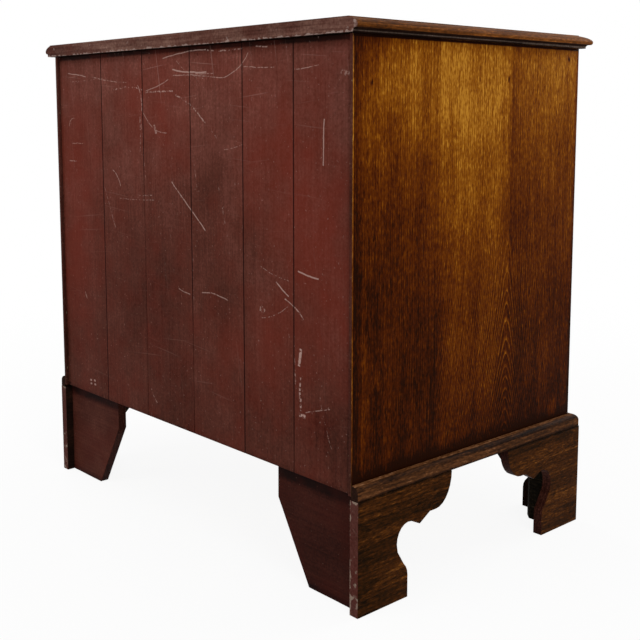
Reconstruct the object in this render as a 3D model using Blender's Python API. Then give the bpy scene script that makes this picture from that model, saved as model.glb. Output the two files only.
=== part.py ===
"""An eighteenth-century country oak chest of four long graduated drawers on shaped bracket feet.

Frame: metres, +Z up, drawers facing -Y, origin on the floor under the middle of the base.
The carcase is two oak sides, a moulded top, a bottom board, three full-depth dustboards whose
front edges are the drawer rails, and six painted boards let into rebates at the back. Each drawer
is dovetailed from a front, two sides and a back, with a bottom board in grooves, and has two brass
swan-neck handles whose bails hang in bored posts.
"""

import math

import bmesh
import bpy

# Whole chest
CARCASE_WIDTH = 0.800
CARCASE_DEPTH = 0.514
CARCASE_BOTTOM = 0.172
TOP_UNDERSIDE = 0.800
TOP_THICKNESS = 0.021
TOP_OVERHANG = 0.018
TOP_FRONT_OVERHANG = 0.013
TOP_BACK_OVERHANG = 0.010

# Fits between pieces
JOINT_GAP = 0.0003
DRAWER_SIDE_PLAY = 0.0010
DRAWER_TOP_PLAY = 0.0020
FRONT_EDGE_PLAY = 0.0010

# Carcase boards
SIDE_THICKNESS = 0.018
BOTTOM_THICKNESS = 0.016
HOUSING_DEPTH = 0.008
HOUSING_STOP = 0.012
RAIL_THICKNESS = 0.018
RAIL_DEPTH = 0.060
DUST_PANEL_THICKNESS = 0.010
BACK_THICKNESS = 0.012
BACK_RECESS = 0.005
BACK_LIP = 0.006
BACK_SEAM = 0.0006
# The six back boards' widths, seen from the front, left to right; eased alike to fill the back
BACK_BOARD_WIDTHS = (0.119, 0.116, 0.134, 0.137, 0.133, 0.149)

# Moulded edge of the top, from the upper face down: fillet, ovolo, nose, step, cove, lower fillet
TOP_FILLET = 0.001
TOP_OVOLO_WIDTH = 0.0164
TOP_OVOLO_DROP = 0.0100
TOP_OVOLO_BREAK = 45
TOP_NOSE_WIDTH = 0.0025
TOP_NOSE_DROP = 0.0043
TOP_STEP_WIDTH = 0.0045
TOP_COVE_WIDTH = 0.0038
TOP_LOWER_FILLET = 0.0015

# Base moulding, a quarter-round over a square face
BASE_MOULD_HEIGHT = 0.021
BASE_MOULD_PROJECTION = 0.0133
BASE_MOULD_FLAT = 0.002
BASE_FACE_HEIGHT = 0.0105

# Bracket feet; the scroll runs from the foot up to the throat, arch, cusp and lobe
BRACKET_PROJECTION = 0.014
BRACKET_THICKNESS = 0.016
BRACKET_LENGTH = 0.196
BRACKET_FOOT_WIDTH = 0.101
LOBE_LENGTH = 0.048
LOBE_FLAT = 0.013
LOBE_HEIGHT = 0.1165
CUSP_LENGTH = 0.022
CUSP_HEIGHT = 0.1035
ARCH_HALF_WIDTH = 0.024
ARCH_HEIGHT = 0.113
ARCH_SWEEP = 105
THROAT_HEIGHT = 0.085
STEM_HEIGHT = 0.034
ANKLE_RISE = 0.024
ANKLE_SWEEP = 50
NECK_WIDTH = 0.002
REAR_BRACKET_RECESS = 0.014
REAR_BRACKET_TOP_LENGTH = 0.1705
REAR_BRACKET_FOOT_LENGTH = 0.101
REAR_BRACKET_KNEE = 0.120
GLUE_BLOCK = 0.048
GLUE_BLOCK_CHAMFER = 0.012
GLUE_BLOCK_LIFT = 0.004
GLUE_STRIP_THICKNESS = 0.020
GLUE_STRIP_HEIGHT = 0.030
GLUE_STRIP_CHAMFER = 0.009
GLUE_STRIP_SETBACK = 0.017

# Drawers
DRAWER_COUNT = 4
OPENING_STEP = 0.0135
DRAWER_BACK_SPACE = 0.017
FRONT_THICKNESS = 0.020
LINING_THICKNESS = 0.010
LAP = 0.006
DRAWER_BOTTOM_THICKNESS = 0.006
DRAWER_BOTTOM_LIFT = 0.0075
GROOVE_DEPTH = 0.005
BACK_LOWERED = 0.006
TAIL_PITCH = 0.045
TAIL_SHARE = 0.62
TAIL_SLOPE = 1 / 6
BEAD_WIDTH = 0.0032
BEAD_PROJECTION = 0.0026
BEAD_SMOOTH_ANGLE = 60
STOP_LENGTH = 0.045
STOP_DEPTH = 0.018
STOP_HEIGHT = 0.005
STOP_OFFSET = 0.150

# Handles; round parts have this many sides
ROUND_SIDES = 8
POST_SMOOTH_ANGLE = 50
HANDLE_OFFSET = 0.232
POST_SPACING = 0.070
PIVOT_PROJECTION = 0.016
PLATE_HALF_WIDTH = 0.044
PLATE_HALF_HEIGHT = 0.025
PLATE_LOBING = 0.16
PLATE_POINTS = 24
PLATE_THICKNESS = 0.0018
PLATE_CHAMFER = 0.0008
ROSETTE_RADIUS = 0.0072
ROSETTE_THICKNESS = 0.0022
ROSETTE_FACE_RADIUS = 0.0054
STEM_RADIUS = 0.0034
HEAD_RADIUS = 0.0048
HEAD_TIP_ANGLE = -80
HEAD_NECK_ANGLE = 45
STUD_RADIUS = 0.0020
STUD_HOLE_PLAY = 0.0003
STUD_END = 0.0012
NUT_SIDE = 0.009
NUT_THICKNESS = 0.003
PIVOT_BORE_RADIUS = 0.0019
PIVOT_PIN_RADIUS = 0.0015
PIVOT_BORE_END = 0.0026
BAIL_RADIUS = 0.0024
BAIL_SWELL = 1.30
BAIL_ARM_INSET = 0.0082
BAIL_BELLY = 0.0005
BAIL_DROP = 0.0335
BAIL_STEPS = 2
BAIL_RESOLUTION = 1

# Finishes: linear red, green and blue, then roughness and metallic
FINISHES = {
    "waxed golden oak": ((0.230, 0.098, 0.028), 0.42, 0.0),
    "waxed dark oak": ((0.085, 0.034, 0.014), 0.48, 0.0),
    "red painted pine": ((0.095, 0.028, 0.021), 0.60, 0.0),
    "unpolished lining oak": ((0.330, 0.185, 0.085), 0.75, 0.0),
    "aged brass": ((0.560, 0.370, 0.130), 0.35, 1.0),
}

# Derived places
HALF_WIDTH = CARCASE_WIDTH / 2
INNER_HALF = HALF_WIDTH - SIDE_THICKNESS
BACK_Y = (CARCASE_DEPTH + BRACKET_PROJECTION) / 2
FRONT_Y = BACK_Y - CARCASE_DEPTH
BACK_OUTER_Y = BACK_Y - BACK_RECESS
BACK_INNER_Y = BACK_OUTER_Y - BACK_THICKNESS
BOTTOM_TOP = CARCASE_BOTTOM + BOTTOM_THICKNESS
BASE_MOULD_BOTTOM = BOTTOM_TOP - BASE_MOULD_HEIGHT
BOARD_END_Y = BACK_INNER_Y - JOINT_GAP
BASE_HALF = HALF_WIDTH + BRACKET_PROJECTION
BASE_FRONT_Y = FRONT_Y - BRACKET_PROJECTION
FRONT_INNER_Y = FRONT_Y + FRONT_THICKNESS
DRAWER_BACK_Y = BACK_INNER_Y - DRAWER_BACK_SPACE
CUT_MARGIN = 0.002


def finish(name):
    """A plain material from the table of finishes."""
    colour, roughness, metallic = FINISHES[name]
    material = bpy.data.materials.new(name)
    material.use_nodes = True
    shader = material.node_tree.nodes["Principled BSDF"]
    shader.inputs["Base Color"].default_value = (*colour, 1.0)
    shader.inputs["Roughness"].default_value = roughness
    shader.inputs["Metallic"].default_value = metallic
    material.diffuse_color = (*colour, 1.0)
    return material


def place(name, bm, material=None, helper=False):
    """Turns a bmesh into a named object; a helper is a cutter that is never rendered."""
    bmesh.ops.recalc_face_normals(bm, faces=bm.faces)
    mesh = bpy.data.meshes.new(name)
    bm.to_mesh(mesh)
    bm.free()
    obj = bpy.data.objects.new(name, mesh)
    bpy.context.scene.collection.objects.link(obj)
    if material:
        mesh.materials.append(material)
    if helper:
        obj.hide_render = True
        obj.display_type = "WIRE"
    return obj


def loft(bm, rings):
    """Joins rings of equally many points into one closed skin with flat ends."""
    loops = [[bm.verts.new(point) for point in ring] for ring in rings]
    count = len(loops[0])
    for lower, upper in zip(loops, loops[1:]):
        for i in range(count):
            j = (i + 1) % count
            bm.faces.new((lower[i], lower[j], upper[j], upper[i]))
    bm.faces.new(loops[0][::-1])
    bm.faces.new(loops[-1])


def prism(bm, outline, axis, low, high):
    """Extrudes an outline along X, Y or Z; the outline holds the two other coordinates in X, Y, Z order."""

    def point(pair, along):
        coordinates = list(pair)
        coordinates.insert("XYZ".index(axis), along)
        return coordinates

    loft(bm, [[point(pair, along) for pair in outline] for along in (low, high)])


def block(bm, x, y, z):
    """A box between three pairs of lowest and highest coordinates."""
    prism(bm, [(x[0], y[0]), (x[1], y[0]), (x[1], y[1]), (x[0], y[1])], "Z", z[0], z[1])


def arc(centre, radii, start, end, count):
    """Points on an elliptic arc, from start to end in degrees."""
    angles = [math.radians(start + (end - start) * i / count) for i in range(count + 1)]
    return [(centre[0] + radii[0] * math.cos(a), centre[1] + radii[1] * math.sin(a)) for a in angles]


def circle(centre, radius):
    """A ring of points round a bore or a turned piece."""
    return arc(centre, (radius, radius), 0, 360 - 360 / ROUND_SIDES, ROUND_SIDES - 1)


def boolean(obj, other, operation):
    """Cuts another object from this one, or joins it on."""
    modifier = obj.modifiers.new(operation.title(), "BOOLEAN")
    modifier.operation = operation
    modifier.solver = "EXACT"
    modifier.object = other


def shade_round(obj, angle=35):
    """Shades a turned or curved piece smooth, but keeps its corners sharp."""
    obj.data.shade_smooth()
    obj.data.set_sharp_from_angle(angle=math.radians(angle))


def opening_floors():
    """The floor and the height of each drawer opening, from the top drawer to the bottom one."""
    clear = TOP_UNDERSIDE - BOTTOM_TOP - (DRAWER_COUNT - 1) * RAIL_THICKNESS
    steps = DRAWER_COUNT * (DRAWER_COUNT - 1) / 2
    first = (clear - steps * OPENING_STEP) / DRAWER_COUNT
    found = []
    ceiling = TOP_UNDERSIDE
    for i in range(DRAWER_COUNT):
        height = first + i * OPENING_STEP
        found.append((ceiling - height, height))
        ceiling -= height + RAIL_THICKNESS
    return found


def top_profile():
    """The moulded edge of the top: depth in from its nose, and height, from the upper face down."""
    upper = TOP_UNDERSIDE + TOP_THICKNESS
    nose_top = upper - TOP_FILLET - TOP_OVOLO_DROP
    nose_bottom = nose_top - TOP_NOSE_DROP
    cove_bottom = TOP_UNDERSIDE + TOP_LOWER_FILLET
    start = math.radians(TOP_OVOLO_BREAK)
    radii = (TOP_OVOLO_WIDTH / (1 - math.sin(start)), TOP_OVOLO_DROP / math.cos(start))
    return [
        (TOP_OVOLO_WIDTH, upper),
        *arc((radii[0], nose_top), radii, 90 + TOP_OVOLO_BREAK, 180, 6),
        *arc((TOP_NOSE_WIDTH, nose_top), (TOP_NOSE_WIDTH, TOP_NOSE_DROP), 180, 270, 4)[1:],
        *arc((TOP_STEP_WIDTH, cove_bottom), (TOP_COVE_WIDTH, nose_bottom - cove_bottom), 90, 0, 4),
        (TOP_STEP_WIDTH + TOP_COVE_WIDTH, TOP_UNDERSIDE),
    ]


def build_top(oak):
    """The top board: moulded at the front and both ends, square and plain at the back."""
    rings = []
    for inset, z in top_profile():
        x = HALF_WIDTH + TOP_OVERHANG - inset
        y = (FRONT_Y - TOP_FRONT_OVERHANG + inset, BACK_Y + TOP_BACK_OVERHANG)
        rings.append([(-x, y[0], z), (x, y[0], z), (x, y[1], z), (-x, y[1], z)])
    bm = bmesh.new()
    loft(bm, rings)
    shade_round(place("top", bm, oak))


def divider_section(z_top, grow=0.0):
    """A dustboard's section along its depth: a thick rail in front, a thin panel behind, level on top."""
    rail_back = FRONT_Y + RAIL_DEPTH + grow
    return [
        (FRONT_Y + HOUSING_STOP - grow, z_top - RAIL_THICKNESS - grow),
        (rail_back, z_top - RAIL_THICKNESS - grow),
        (rail_back, z_top - DUST_PANEL_THICKNESS - grow),
        (BOARD_END_Y + CUT_MARGIN, z_top - DUST_PANEL_THICKNESS - grow),
        (BOARD_END_Y + CUT_MARGIN, z_top + grow),
        (FRONT_Y + HOUSING_STOP - grow, z_top + grow),
    ]


def build_sides(oak):
    """The two carcase sides, rebated for the back and housed for the dustboards and the bottom."""
    rebate = SIDE_THICKNESS - BACK_LIP
    rebate_y = BACK_INNER_Y - JOINT_GAP
    for name, sign in (("side_left", -1), ("side_right", 1)):
        outer = sign * HALF_WIDTH
        plan = [
            (outer, FRONT_Y),
            (sign * INNER_HALF, FRONT_Y),
            (sign * INNER_HALF, rebate_y),
            (sign * (INNER_HALF + rebate), rebate_y),
            (sign * (INNER_HALF + rebate), BACK_Y),
            (outer, BACK_Y),
        ]
        bm = bmesh.new()
        prism(bm, plan, "Z", CARCASE_BOTTOM, TOP_UNDERSIDE - JOINT_GAP)
        side = place(name, bm, oak)
        depth = sorted((sign * (INNER_HALF - CUT_MARGIN), sign * (INNER_HALF + HOUSING_DEPTH)))
        bm = bmesh.new()
        for floor, _ in opening_floors()[:-1]:
            prism(bm, divider_section(floor, JOINT_GAP), "X", *depth)
        block(
            bm,
            depth,
            (FRONT_Y + HOUSING_STOP - JOINT_GAP, BOARD_END_Y + CUT_MARGIN),
            (CARCASE_BOTTOM - CUT_MARGIN, BOTTOM_TOP + JOINT_GAP),
        )
        boolean(side, place(name + "_housings", bm, helper=True), "DIFFERENCE")


def housed_plan():
    """A carcase board seen from above: shouldered at the front, with a tongue into each side."""
    shoulder = INNER_HALF - JOINT_GAP
    tongue = INNER_HALF + HOUSING_DEPTH - JOINT_GAP
    stop = FRONT_Y + HOUSING_STOP
    return [
        (-shoulder, FRONT_Y),
        (shoulder, FRONT_Y),
        (shoulder, stop),
        (tongue, stop),
        (tongue, BOARD_END_Y),
        (-tongue, BOARD_END_Y),
        (-tongue, stop),
        (-shoulder, stop),
    ]


def add_stops(board, floor):
    """Two small blocks glued on a board, which the drawer front meets when the drawer is shut."""
    for side, sign in (("left", -1), ("right", 1)):
        x = sign * STOP_OFFSET
        y = FRONT_INNER_Y + JOINT_GAP
        bm = bmesh.new()
        block(
            bm,
            (x - STOP_LENGTH / 2, x + STOP_LENGTH / 2),
            (y, y + STOP_DEPTH),
            (floor - CUT_MARGIN, floor + STOP_HEIGHT),
        )
        boolean(board, place(f"{board.name}_stop_{side}", bm, helper=True), "UNION")


def build_dustboards(oak):
    """Three full-depth boards between the drawers; the front edge of each is the rail that shows."""
    for number, (floor, _) in enumerate(opening_floors()[:-1], 1):
        bm = bmesh.new()
        prism(bm, housed_plan(), "Z", floor - RAIL_THICKNESS, floor)
        board = place(f"dustboard_{number}", bm, oak)
        bm = bmesh.new()
        block(
            bm,
            (-HALF_WIDTH, HALF_WIDTH),
            (FRONT_Y + RAIL_DEPTH, BACK_Y),
            (floor - RAIL_THICKNESS - CUT_MARGIN, floor - DUST_PANEL_THICKNESS),
        )
        boolean(board, place(f"dustboard_{number}_relief", bm, helper=True), "DIFFERENCE")
        add_stops(board, floor)


def build_bottom(oak):
    """The carcase bottom, on which the lowest drawer runs."""
    bm = bmesh.new()
    prism(bm, housed_plan(), "Z", CARCASE_BOTTOM, BOTTOM_TOP)
    add_stops(place("bottom_board", bm, oak), BOTTOM_TOP)


def build_back(painted):
    """Six upright boards of unequal width, side by side in the rebates."""
    half = HALF_WIDTH - BACK_LIP - JOINT_GAP
    seams = BACK_SEAM * (len(BACK_BOARD_WIDTHS) - 1)
    ease = (2 * half - seams) / sum(BACK_BOARD_WIDTHS)
    left = -half
    for number, width in enumerate(BACK_BOARD_WIDTHS, 1):
        right = left + width * ease
        bm = bmesh.new()
        block(bm, (left, right), (BACK_INNER_Y, BACK_OUTER_Y), (CARCASE_BOTTOM, TOP_UNDERSIDE - JOINT_GAP))
        place(f"back_board_{number}", bm, painted)
        left = right + BACK_SEAM


def base_profile():
    """The base moulding: projection from the carcase, and height, from the bottom inner corner round."""
    bottom = BASE_MOULD_BOTTOM
    centre = (BASE_MOULD_FLAT, bottom + BASE_FACE_HEIGHT)
    radii = (BASE_MOULD_PROJECTION - BASE_MOULD_FLAT, BASE_MOULD_HEIGHT - BASE_FACE_HEIGHT)
    return [
        (JOINT_GAP, bottom),
        (BASE_MOULD_PROJECTION, bottom),
        *arc(centre, radii, 0, 90, 6),
        (JOINT_GAP, bottom + BASE_MOULD_HEIGHT),
    ]


def build_base_moulding(oak):
    """Three strips planted round the foot of the carcase, mitred at the two front corners."""
    mitre_gap = JOINT_GAP / 2
    profile = base_profile()
    for name, sign in (("base_moulding_left", -1), ("base_moulding_right", 1)):
        front = [(sign * (HALF_WIDTH + p), FRONT_Y - p + mitre_gap, z) for p, z in profile]
        back = [(sign * (HALF_WIDTH + p), BACK_Y, z) for p, z in profile]
        bm = bmesh.new()
        loft(bm, [front, back])
        shade_round(place(name, bm, oak))
    ends = [[(s * (HALF_WIDTH + p - mitre_gap), FRONT_Y - p, z) for p, z in profile] for s in (-1, 1)]
    bm = bmesh.new()
    loft(bm, ends)
    shade_round(place("base_moulding_front", bm, oak))


def bracket_outline():
    """A shaped bracket: length from its corner, and height, from the bottom corner round."""
    top = BASE_MOULD_BOTTOM - JOINT_GAP
    foot = BRACKET_FOOT_WIDTH
    shoulder = BRACKET_LENGTH - LOBE_LENGTH
    cusp = shoulder - CUSP_LENGTH
    arch = cusp - ARCH_HALF_WIDTH
    throat = arch - ARCH_HALF_WIDTH
    arch_radii = (ARCH_HALF_WIDTH, ARCH_HEIGHT - THROAT_HEIGHT)
    lobe_radii = (LOBE_LENGTH - LOBE_FLAT, top - LOBE_HEIGHT)
    return [
        (0, 0),
        (foot, 0),
        *arc((throat, STEM_HEIGHT), (foot - throat, ANKLE_RISE), 0, ANKLE_SWEEP, 3),
        (throat + NECK_WIDTH, THROAT_HEIGHT - ANKLE_RISE / 2),
        *arc((arch, THROAT_HEIGHT), arch_radii, 180, 180 - ARCH_SWEEP, 6),
        (cusp, CUSP_HEIGHT),
        (shoulder, LOBE_HEIGHT),
        *arc((BRACKET_LENGTH - lobe_radii[0], top), lobe_radii, 270, 360, 7),
        (0, top),
    ]


def mitred_bracket(point, outline, thickness):
    """Two rings of a bracket board whose corner end is mitred; point places (length, inward, height)."""
    outer = [point(length, 0.0, z) for length, z in outline]
    inner = [point(max(length, thickness), thickness, z) for length, z in outline]
    return [outer, inner]


def glue_block(name, bracket, corner, signs, top):
    """Joins an upright block on a bracket, in the corner behind a foot, with its free corner cut off."""
    size, cut, lap = GLUE_BLOCK, GLUE_BLOCK_CHAMFER, CUT_MARGIN
    outline = [(0, -lap), (size, -lap), (size, size - cut), (size - cut, size), (0, size)]
    bm = bmesh.new()
    points = [(corner[0] + signs[0] * a, corner[1] + signs[1] * b) for a, b in outline]
    prism(bm, points, "Z", GLUE_BLOCK_LIFT, top)
    boolean(bracket, place(name, bm, helper=True), "UNION")


def glue_strip(name, bracket, axis, face, inward, span):
    """Joins a strip on a bracket's inner face, under the carcase, with its free edge cut off."""
    top = CARCASE_BOTTOM - JOINT_GAP
    low = top - GLUE_STRIP_HEIGHT
    thickness, cut = GLUE_STRIP_THICKNESS, GLUE_STRIP_CHAMFER
    section = [(-CUT_MARGIN, top), (-CUT_MARGIN, low), (thickness - cut, low), (thickness, low + cut)]
    bm = bmesh.new()
    points = [(face + inward * depth, z) for depth, z in [*section, (thickness, top)]]
    prism(bm, points, axis, *sorted(span))
    boolean(bracket, place(name, bm, helper=True), "UNION")


def build_front_feet(oak):
    """Each front foot: a side and a front bracket mitred together, with glue blocks behind them."""
    outline = bracket_outline()
    gap = JOINT_GAP
    inner = BASE_HALF - BRACKET_THICKNESS
    inner_y = BASE_FRONT_Y + BRACKET_THICKNESS
    strip_length = BRACKET_LENGTH - GLUE_STRIP_SETBACK
    for name, sign in (("left", -1), ("right", 1)):

        def beside(length, inward, z, s=sign):
            return (s * (BASE_HALF - inward), BASE_FRONT_Y + length + gap, z)

        def before(length, inward, z, s=sign):
            return (s * (BASE_HALF - length - gap), BASE_FRONT_Y + inward, z)

        bm = bmesh.new()
        loft(bm, mitred_bracket(beside, outline, BRACKET_THICKNESS))
        beside_bracket = place(f"foot_front_{name}_side_bracket", bm, oak)
        shade_round(beside_bracket)
        span = (inner_y + GLUE_BLOCK + gap, BASE_FRONT_Y + strip_length)
        glue_strip(f"foot_front_{name}_side_strip", beside_bracket, "Y", sign * inner, -sign, span)
        bm = bmesh.new()
        loft(bm, mitred_bracket(before, outline, BRACKET_THICKNESS))
        bracket = place(f"foot_front_{name}_front_bracket", bm, oak)
        shade_round(bracket)
        corner = (sign * (inner - gap), inner_y)
        glue_block(f"foot_front_{name}_glue_block", bracket, corner, (-sign, 1), CARCASE_BOTTOM - gap)
        span = (sign * (inner - GLUE_BLOCK + CUT_MARGIN), sign * (BASE_HALF - strip_length))
        glue_strip(f"foot_front_{name}_front_strip", bracket, "X", inner_y, 1, span)


def build_rear_feet(oak, painted):
    """Each rear foot: a shaped side bracket, and behind it a plain board cut on the slant."""
    rear_y = BACK_Y - REAR_BRACKET_RECESS
    inner_y = rear_y - BRACKET_THICKNESS
    inner = BASE_HALF - BRACKET_THICKNESS
    top = CARCASE_BOTTOM - JOINT_GAP
    for name, sign in (("left", -1), ("right", 1)):
        outline = [(BACK_Y - length, z) for length, z in bracket_outline()]
        bm = bmesh.new()
        prism(bm, outline, "X", *sorted((sign * inner, sign * BASE_HALF)))
        beside_bracket = place(f"foot_rear_{name}_side_bracket", bm, oak)
        shade_round(beside_bracket)
        span = (inner_y - GLUE_BLOCK - JOINT_GAP, BACK_Y - BRACKET_LENGTH + GLUE_STRIP_SETBACK)
        glue_strip(f"foot_rear_{name}_side_strip", beside_bracket, "Y", sign * inner, -sign, span)
        start = inner - JOINT_GAP
        board = [
            (sign * start, 0),
            (sign * (inner - REAR_BRACKET_FOOT_LENGTH), 0),
            (sign * (inner - REAR_BRACKET_TOP_LENGTH), REAR_BRACKET_KNEE),
            (sign * (inner - REAR_BRACKET_TOP_LENGTH), top),
            (sign * start, top),
        ]
        bm = bmesh.new()
        prism(bm, board, "Y", inner_y, rear_y)
        bracket = place(f"foot_rear_{name}_back_bracket", bm, painted)
        corner = (sign * start, inner_y)
        glue_block(f"foot_rear_{name}_glue_block", bracket, corner, (-sign, -1), top)
        span = [sign * (start - GLUE_BLOCK + CUT_MARGIN), sign * (inner - REAR_BRACKET_TOP_LENGTH)]
        span[1] += sign * GLUE_STRIP_SETBACK
        glue_strip(f"foot_rear_{name}_back_strip", bracket, "X", inner_y, -1, span)


def tails(low, high, root_y, tip_y, grow=0.0):
    """Dovetails on a board's end between two heights, each as four (y, z) points from its root round."""
    count = max(2, round((high - low) / TAIL_PITCH))
    pitch = (high - low) / count
    length = abs(tip_y - root_y)
    direction = 1 if tip_y > root_y else -1
    tip_half = pitch * TAIL_SHARE / 2
    root_half = tip_half - length * TAIL_SLOPE
    side = grow * math.hypot(1, TAIL_SLOPE)
    found = []
    for i in range(count):
        middle = low + pitch * (i + 0.5)
        far = tip_y + direction * grow
        near = root_y - direction * grow
        far_half = tip_half + side + grow * TAIL_SLOPE
        near_half = root_half + side - grow * TAIL_SLOPE
        found.append(
            [
                (near, middle - near_half),
                (far, middle - far_half),
                (far, middle + far_half),
                (near, middle + near_half),
            ]
        )
    return found


def drawer_levels(floor, height):
    """The heights that a drawer's boards share."""
    panel_low = floor + DRAWER_BOTTOM_LIFT
    panel_high = panel_low + DRAWER_BOTTOM_THICKNESS
    side_high = floor + height - DRAWER_TOP_PLAY
    return {
        "side": (floor + JOINT_GAP, side_high),
        "front": (floor + FRONT_EDGE_PLAY, floor + height - FRONT_EDGE_PLAY),
        "panel": (panel_low, panel_high),
        "back": (panel_high + JOINT_GAP, side_high - BACK_LOWERED),
    }


def drawer_side_outline(levels):
    """A drawer side with half-blind tails at the front and through tails at the back."""
    low, high = levels["side"]
    back_low, back_high = levels["back"]
    back_y = DRAWER_BACK_Y
    root = FRONT_INNER_Y + JOINT_GAP
    back_root = back_y - LINING_THICKNESS - JOINT_GAP
    points = [(root, low)]
    front_tails = tails(low, high, root, FRONT_Y + LAP + JOINT_GAP)
    for tail in front_tails:
        points += tail
    points += [(root, high), (back_y, high)]
    points += [(back_y, back_high + JOINT_GAP), (back_root, back_high + JOINT_GAP)]
    for tail in reversed(tails(back_low, back_high, back_root, back_y)):
        points += tail[::-1]
    points += [(back_root, back_low - JOINT_GAP), (back_y, back_low - JOINT_GAP), (back_y, low)]
    return points


def build_drawer_sides(number, levels, lining):
    """The two drawer sides, grooved inside for the bottom board."""
    outer = INNER_HALF - DRAWER_SIDE_PLAY
    panel_low, panel_high = levels["panel"]
    front_of_groove = FRONT_INNER_Y - GROOVE_DEPTH - JOINT_GAP
    for name, sign in (("left", -1), ("right", 1)):
        inner = outer - LINING_THICKNESS
        bm = bmesh.new()
        prism(bm, drawer_side_outline(levels), "X", *sorted((sign * inner, sign * outer)))
        side = place(f"drawer_{number}_side_{name}", bm, lining)
        bm = bmesh.new()
        block(
            bm,
            sorted((sign * (inner - CUT_MARGIN), sign * (inner + GROOVE_DEPTH))),
            (front_of_groove, DRAWER_BACK_Y + CUT_MARGIN),
            (panel_low - JOINT_GAP, panel_high + JOINT_GAP),
        )
        boolean(side, place(f"drawer_{number}_side_{name}_groove", bm, helper=True), "DIFFERENCE")


def cut_sockets(board, name, ends):
    """Cuts sockets for the tails of both drawer sides; ends gives (low, high, root, tip) of the tails."""
    outer = INNER_HALF - DRAWER_SIDE_PLAY
    bm = bmesh.new()
    for sign in (-1, 1):
        x = sorted((sign * (outer - LINING_THICKNESS - JOINT_GAP), sign * (outer + CUT_MARGIN)))
        for tail in tails(*ends, grow=JOINT_GAP):
            prism(bm, tail, "X", *x)
    boolean(board, place(name, bm, helper=True), "DIFFERENCE")


def stud_holes(bm, z):
    """Four holes for the studs of the two handles."""
    radius = STUD_RADIUS + STUD_HOLE_PLAY
    for handle in (-1, 1):
        for post in (-1, 1):
            x = handle * HANDLE_OFFSET + post * POST_SPACING / 2
            prism(bm, circle((x, z), radius), "Y", FRONT_Y - CUT_MARGIN, FRONT_INNER_Y + CUT_MARGIN)


def build_drawer_front(number, levels, oak):
    """A drawer front with a cock bead round its edge, bored for the handles."""
    half = INNER_HALF - DRAWER_SIDE_PLAY
    low, high = levels["front"]
    bead = arc((BEAD_WIDTH / 2, 0), (BEAD_WIDTH / 2, BEAD_PROJECTION), 180, 0, 4)
    rings = []
    for inset, out in [(0, -FRONT_THICKNESS), *bead]:
        x, y = half - inset, FRONT_Y - out
        z = (low + inset, high - inset)
        rings.append([(-x, y, z[0]), (x, y, z[0]), (x, y, z[1]), (-x, y, z[1])])
    bm = bmesh.new()
    loft(bm, rings)
    front = place(f"drawer_{number}_front", bm, oak)
    shade_round(front, BEAD_SMOOTH_ANGLE)
    ends = (*levels["side"], FRONT_INNER_Y + JOINT_GAP, FRONT_Y + LAP + JOINT_GAP)
    cut_sockets(front, f"drawer_{number}_front_sockets", ends)
    panel_low, panel_high = levels["panel"]
    reach = half - LINING_THICKNESS + GROOVE_DEPTH
    bm = bmesh.new()
    block(
        bm,
        (-reach, reach),
        (FRONT_INNER_Y - GROOVE_DEPTH, FRONT_INNER_Y + CUT_MARGIN),
        (panel_low - JOINT_GAP, panel_high + JOINT_GAP),
    )
    boolean(front, place(f"drawer_{number}_front_groove", bm, helper=True), "DIFFERENCE")
    bm = bmesh.new()
    stud_holes(bm, (low + high) / 2)
    boolean(front, place(f"drawer_{number}_front_holes", bm, helper=True), "DIFFERENCE")


def build_drawer_back(number, levels, lining):
    """The drawer back, standing on the bottom board, its pins showing between the tails of the sides."""
    half = INNER_HALF - DRAWER_SIDE_PLAY
    back_y = DRAWER_BACK_Y
    inner_y = back_y - LINING_THICKNESS
    bm = bmesh.new()
    block(bm, (-half, half), (inner_y, back_y), levels["back"])
    back = place(f"drawer_{number}_back", bm, lining)
    ends = (*levels["back"], inner_y - JOINT_GAP, back_y + CUT_MARGIN / 2)
    cut_sockets(back, f"drawer_{number}_back_sockets", ends)


def build_drawer_bottom(number, levels, lining):
    """The drawer bottom, slid into the grooves from behind."""
    reach = INNER_HALF - DRAWER_SIDE_PLAY - LINING_THICKNESS + GROOVE_DEPTH - JOINT_GAP
    front = FRONT_INNER_Y - GROOVE_DEPTH + JOINT_GAP
    bm = bmesh.new()
    block(bm, (-reach, reach), (front, DRAWER_BACK_Y), levels["panel"])
    place(f"drawer_{number}_bottom", bm, lining)


def plate_outline(x, z, inset):
    """A six-lobed plate with a cusp between each two lobes."""
    points = []
    for i in range(PLATE_POINTS):
        angle = 2 * math.pi * i / PLATE_POINTS
        lobe = (1 + PLATE_LOBING * abs(math.cos(3 * angle))) / (1 + PLATE_LOBING)
        points.append(
            (
                x + (PLATE_HALF_WIDTH * lobe - inset) * math.cos(angle),
                z + (PLATE_HALF_HEIGHT * lobe - inset) * math.sin(angle),
            )
        )
    return points


def turned_post(bm, x, z, plate_y):
    """One post from front to back: round head, stem, rosette, and the stud that goes through the front."""
    pivot_y = FRONT_Y - PIVOT_PROJECTION
    head = arc((0, pivot_y), (HEAD_RADIUS, HEAD_RADIUS), HEAD_TIP_ANGLE, HEAD_NECK_ANGLE, 4)
    rosette_y = plate_y - ROSETTE_THICKNESS
    stud_end = FRONT_INNER_Y + NUT_THICKNESS + STUD_END
    profile = [
        *head,
        (STEM_RADIUS, rosette_y - ROSETTE_THICKNESS),
        (ROSETTE_FACE_RADIUS, rosette_y),
        (ROSETTE_RADIUS, rosette_y + ROSETTE_THICKNESS / 2),
        (ROSETTE_RADIUS, plate_y + PLATE_THICKNESS / 2),
        (STUD_RADIUS, plate_y + PLATE_THICKNESS / 2),
        (STUD_RADIUS, stud_end),
    ]
    loft(bm, [[(px, y, pz) for px, pz in circle((x, z), radius)] for radius, y in profile])


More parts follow.
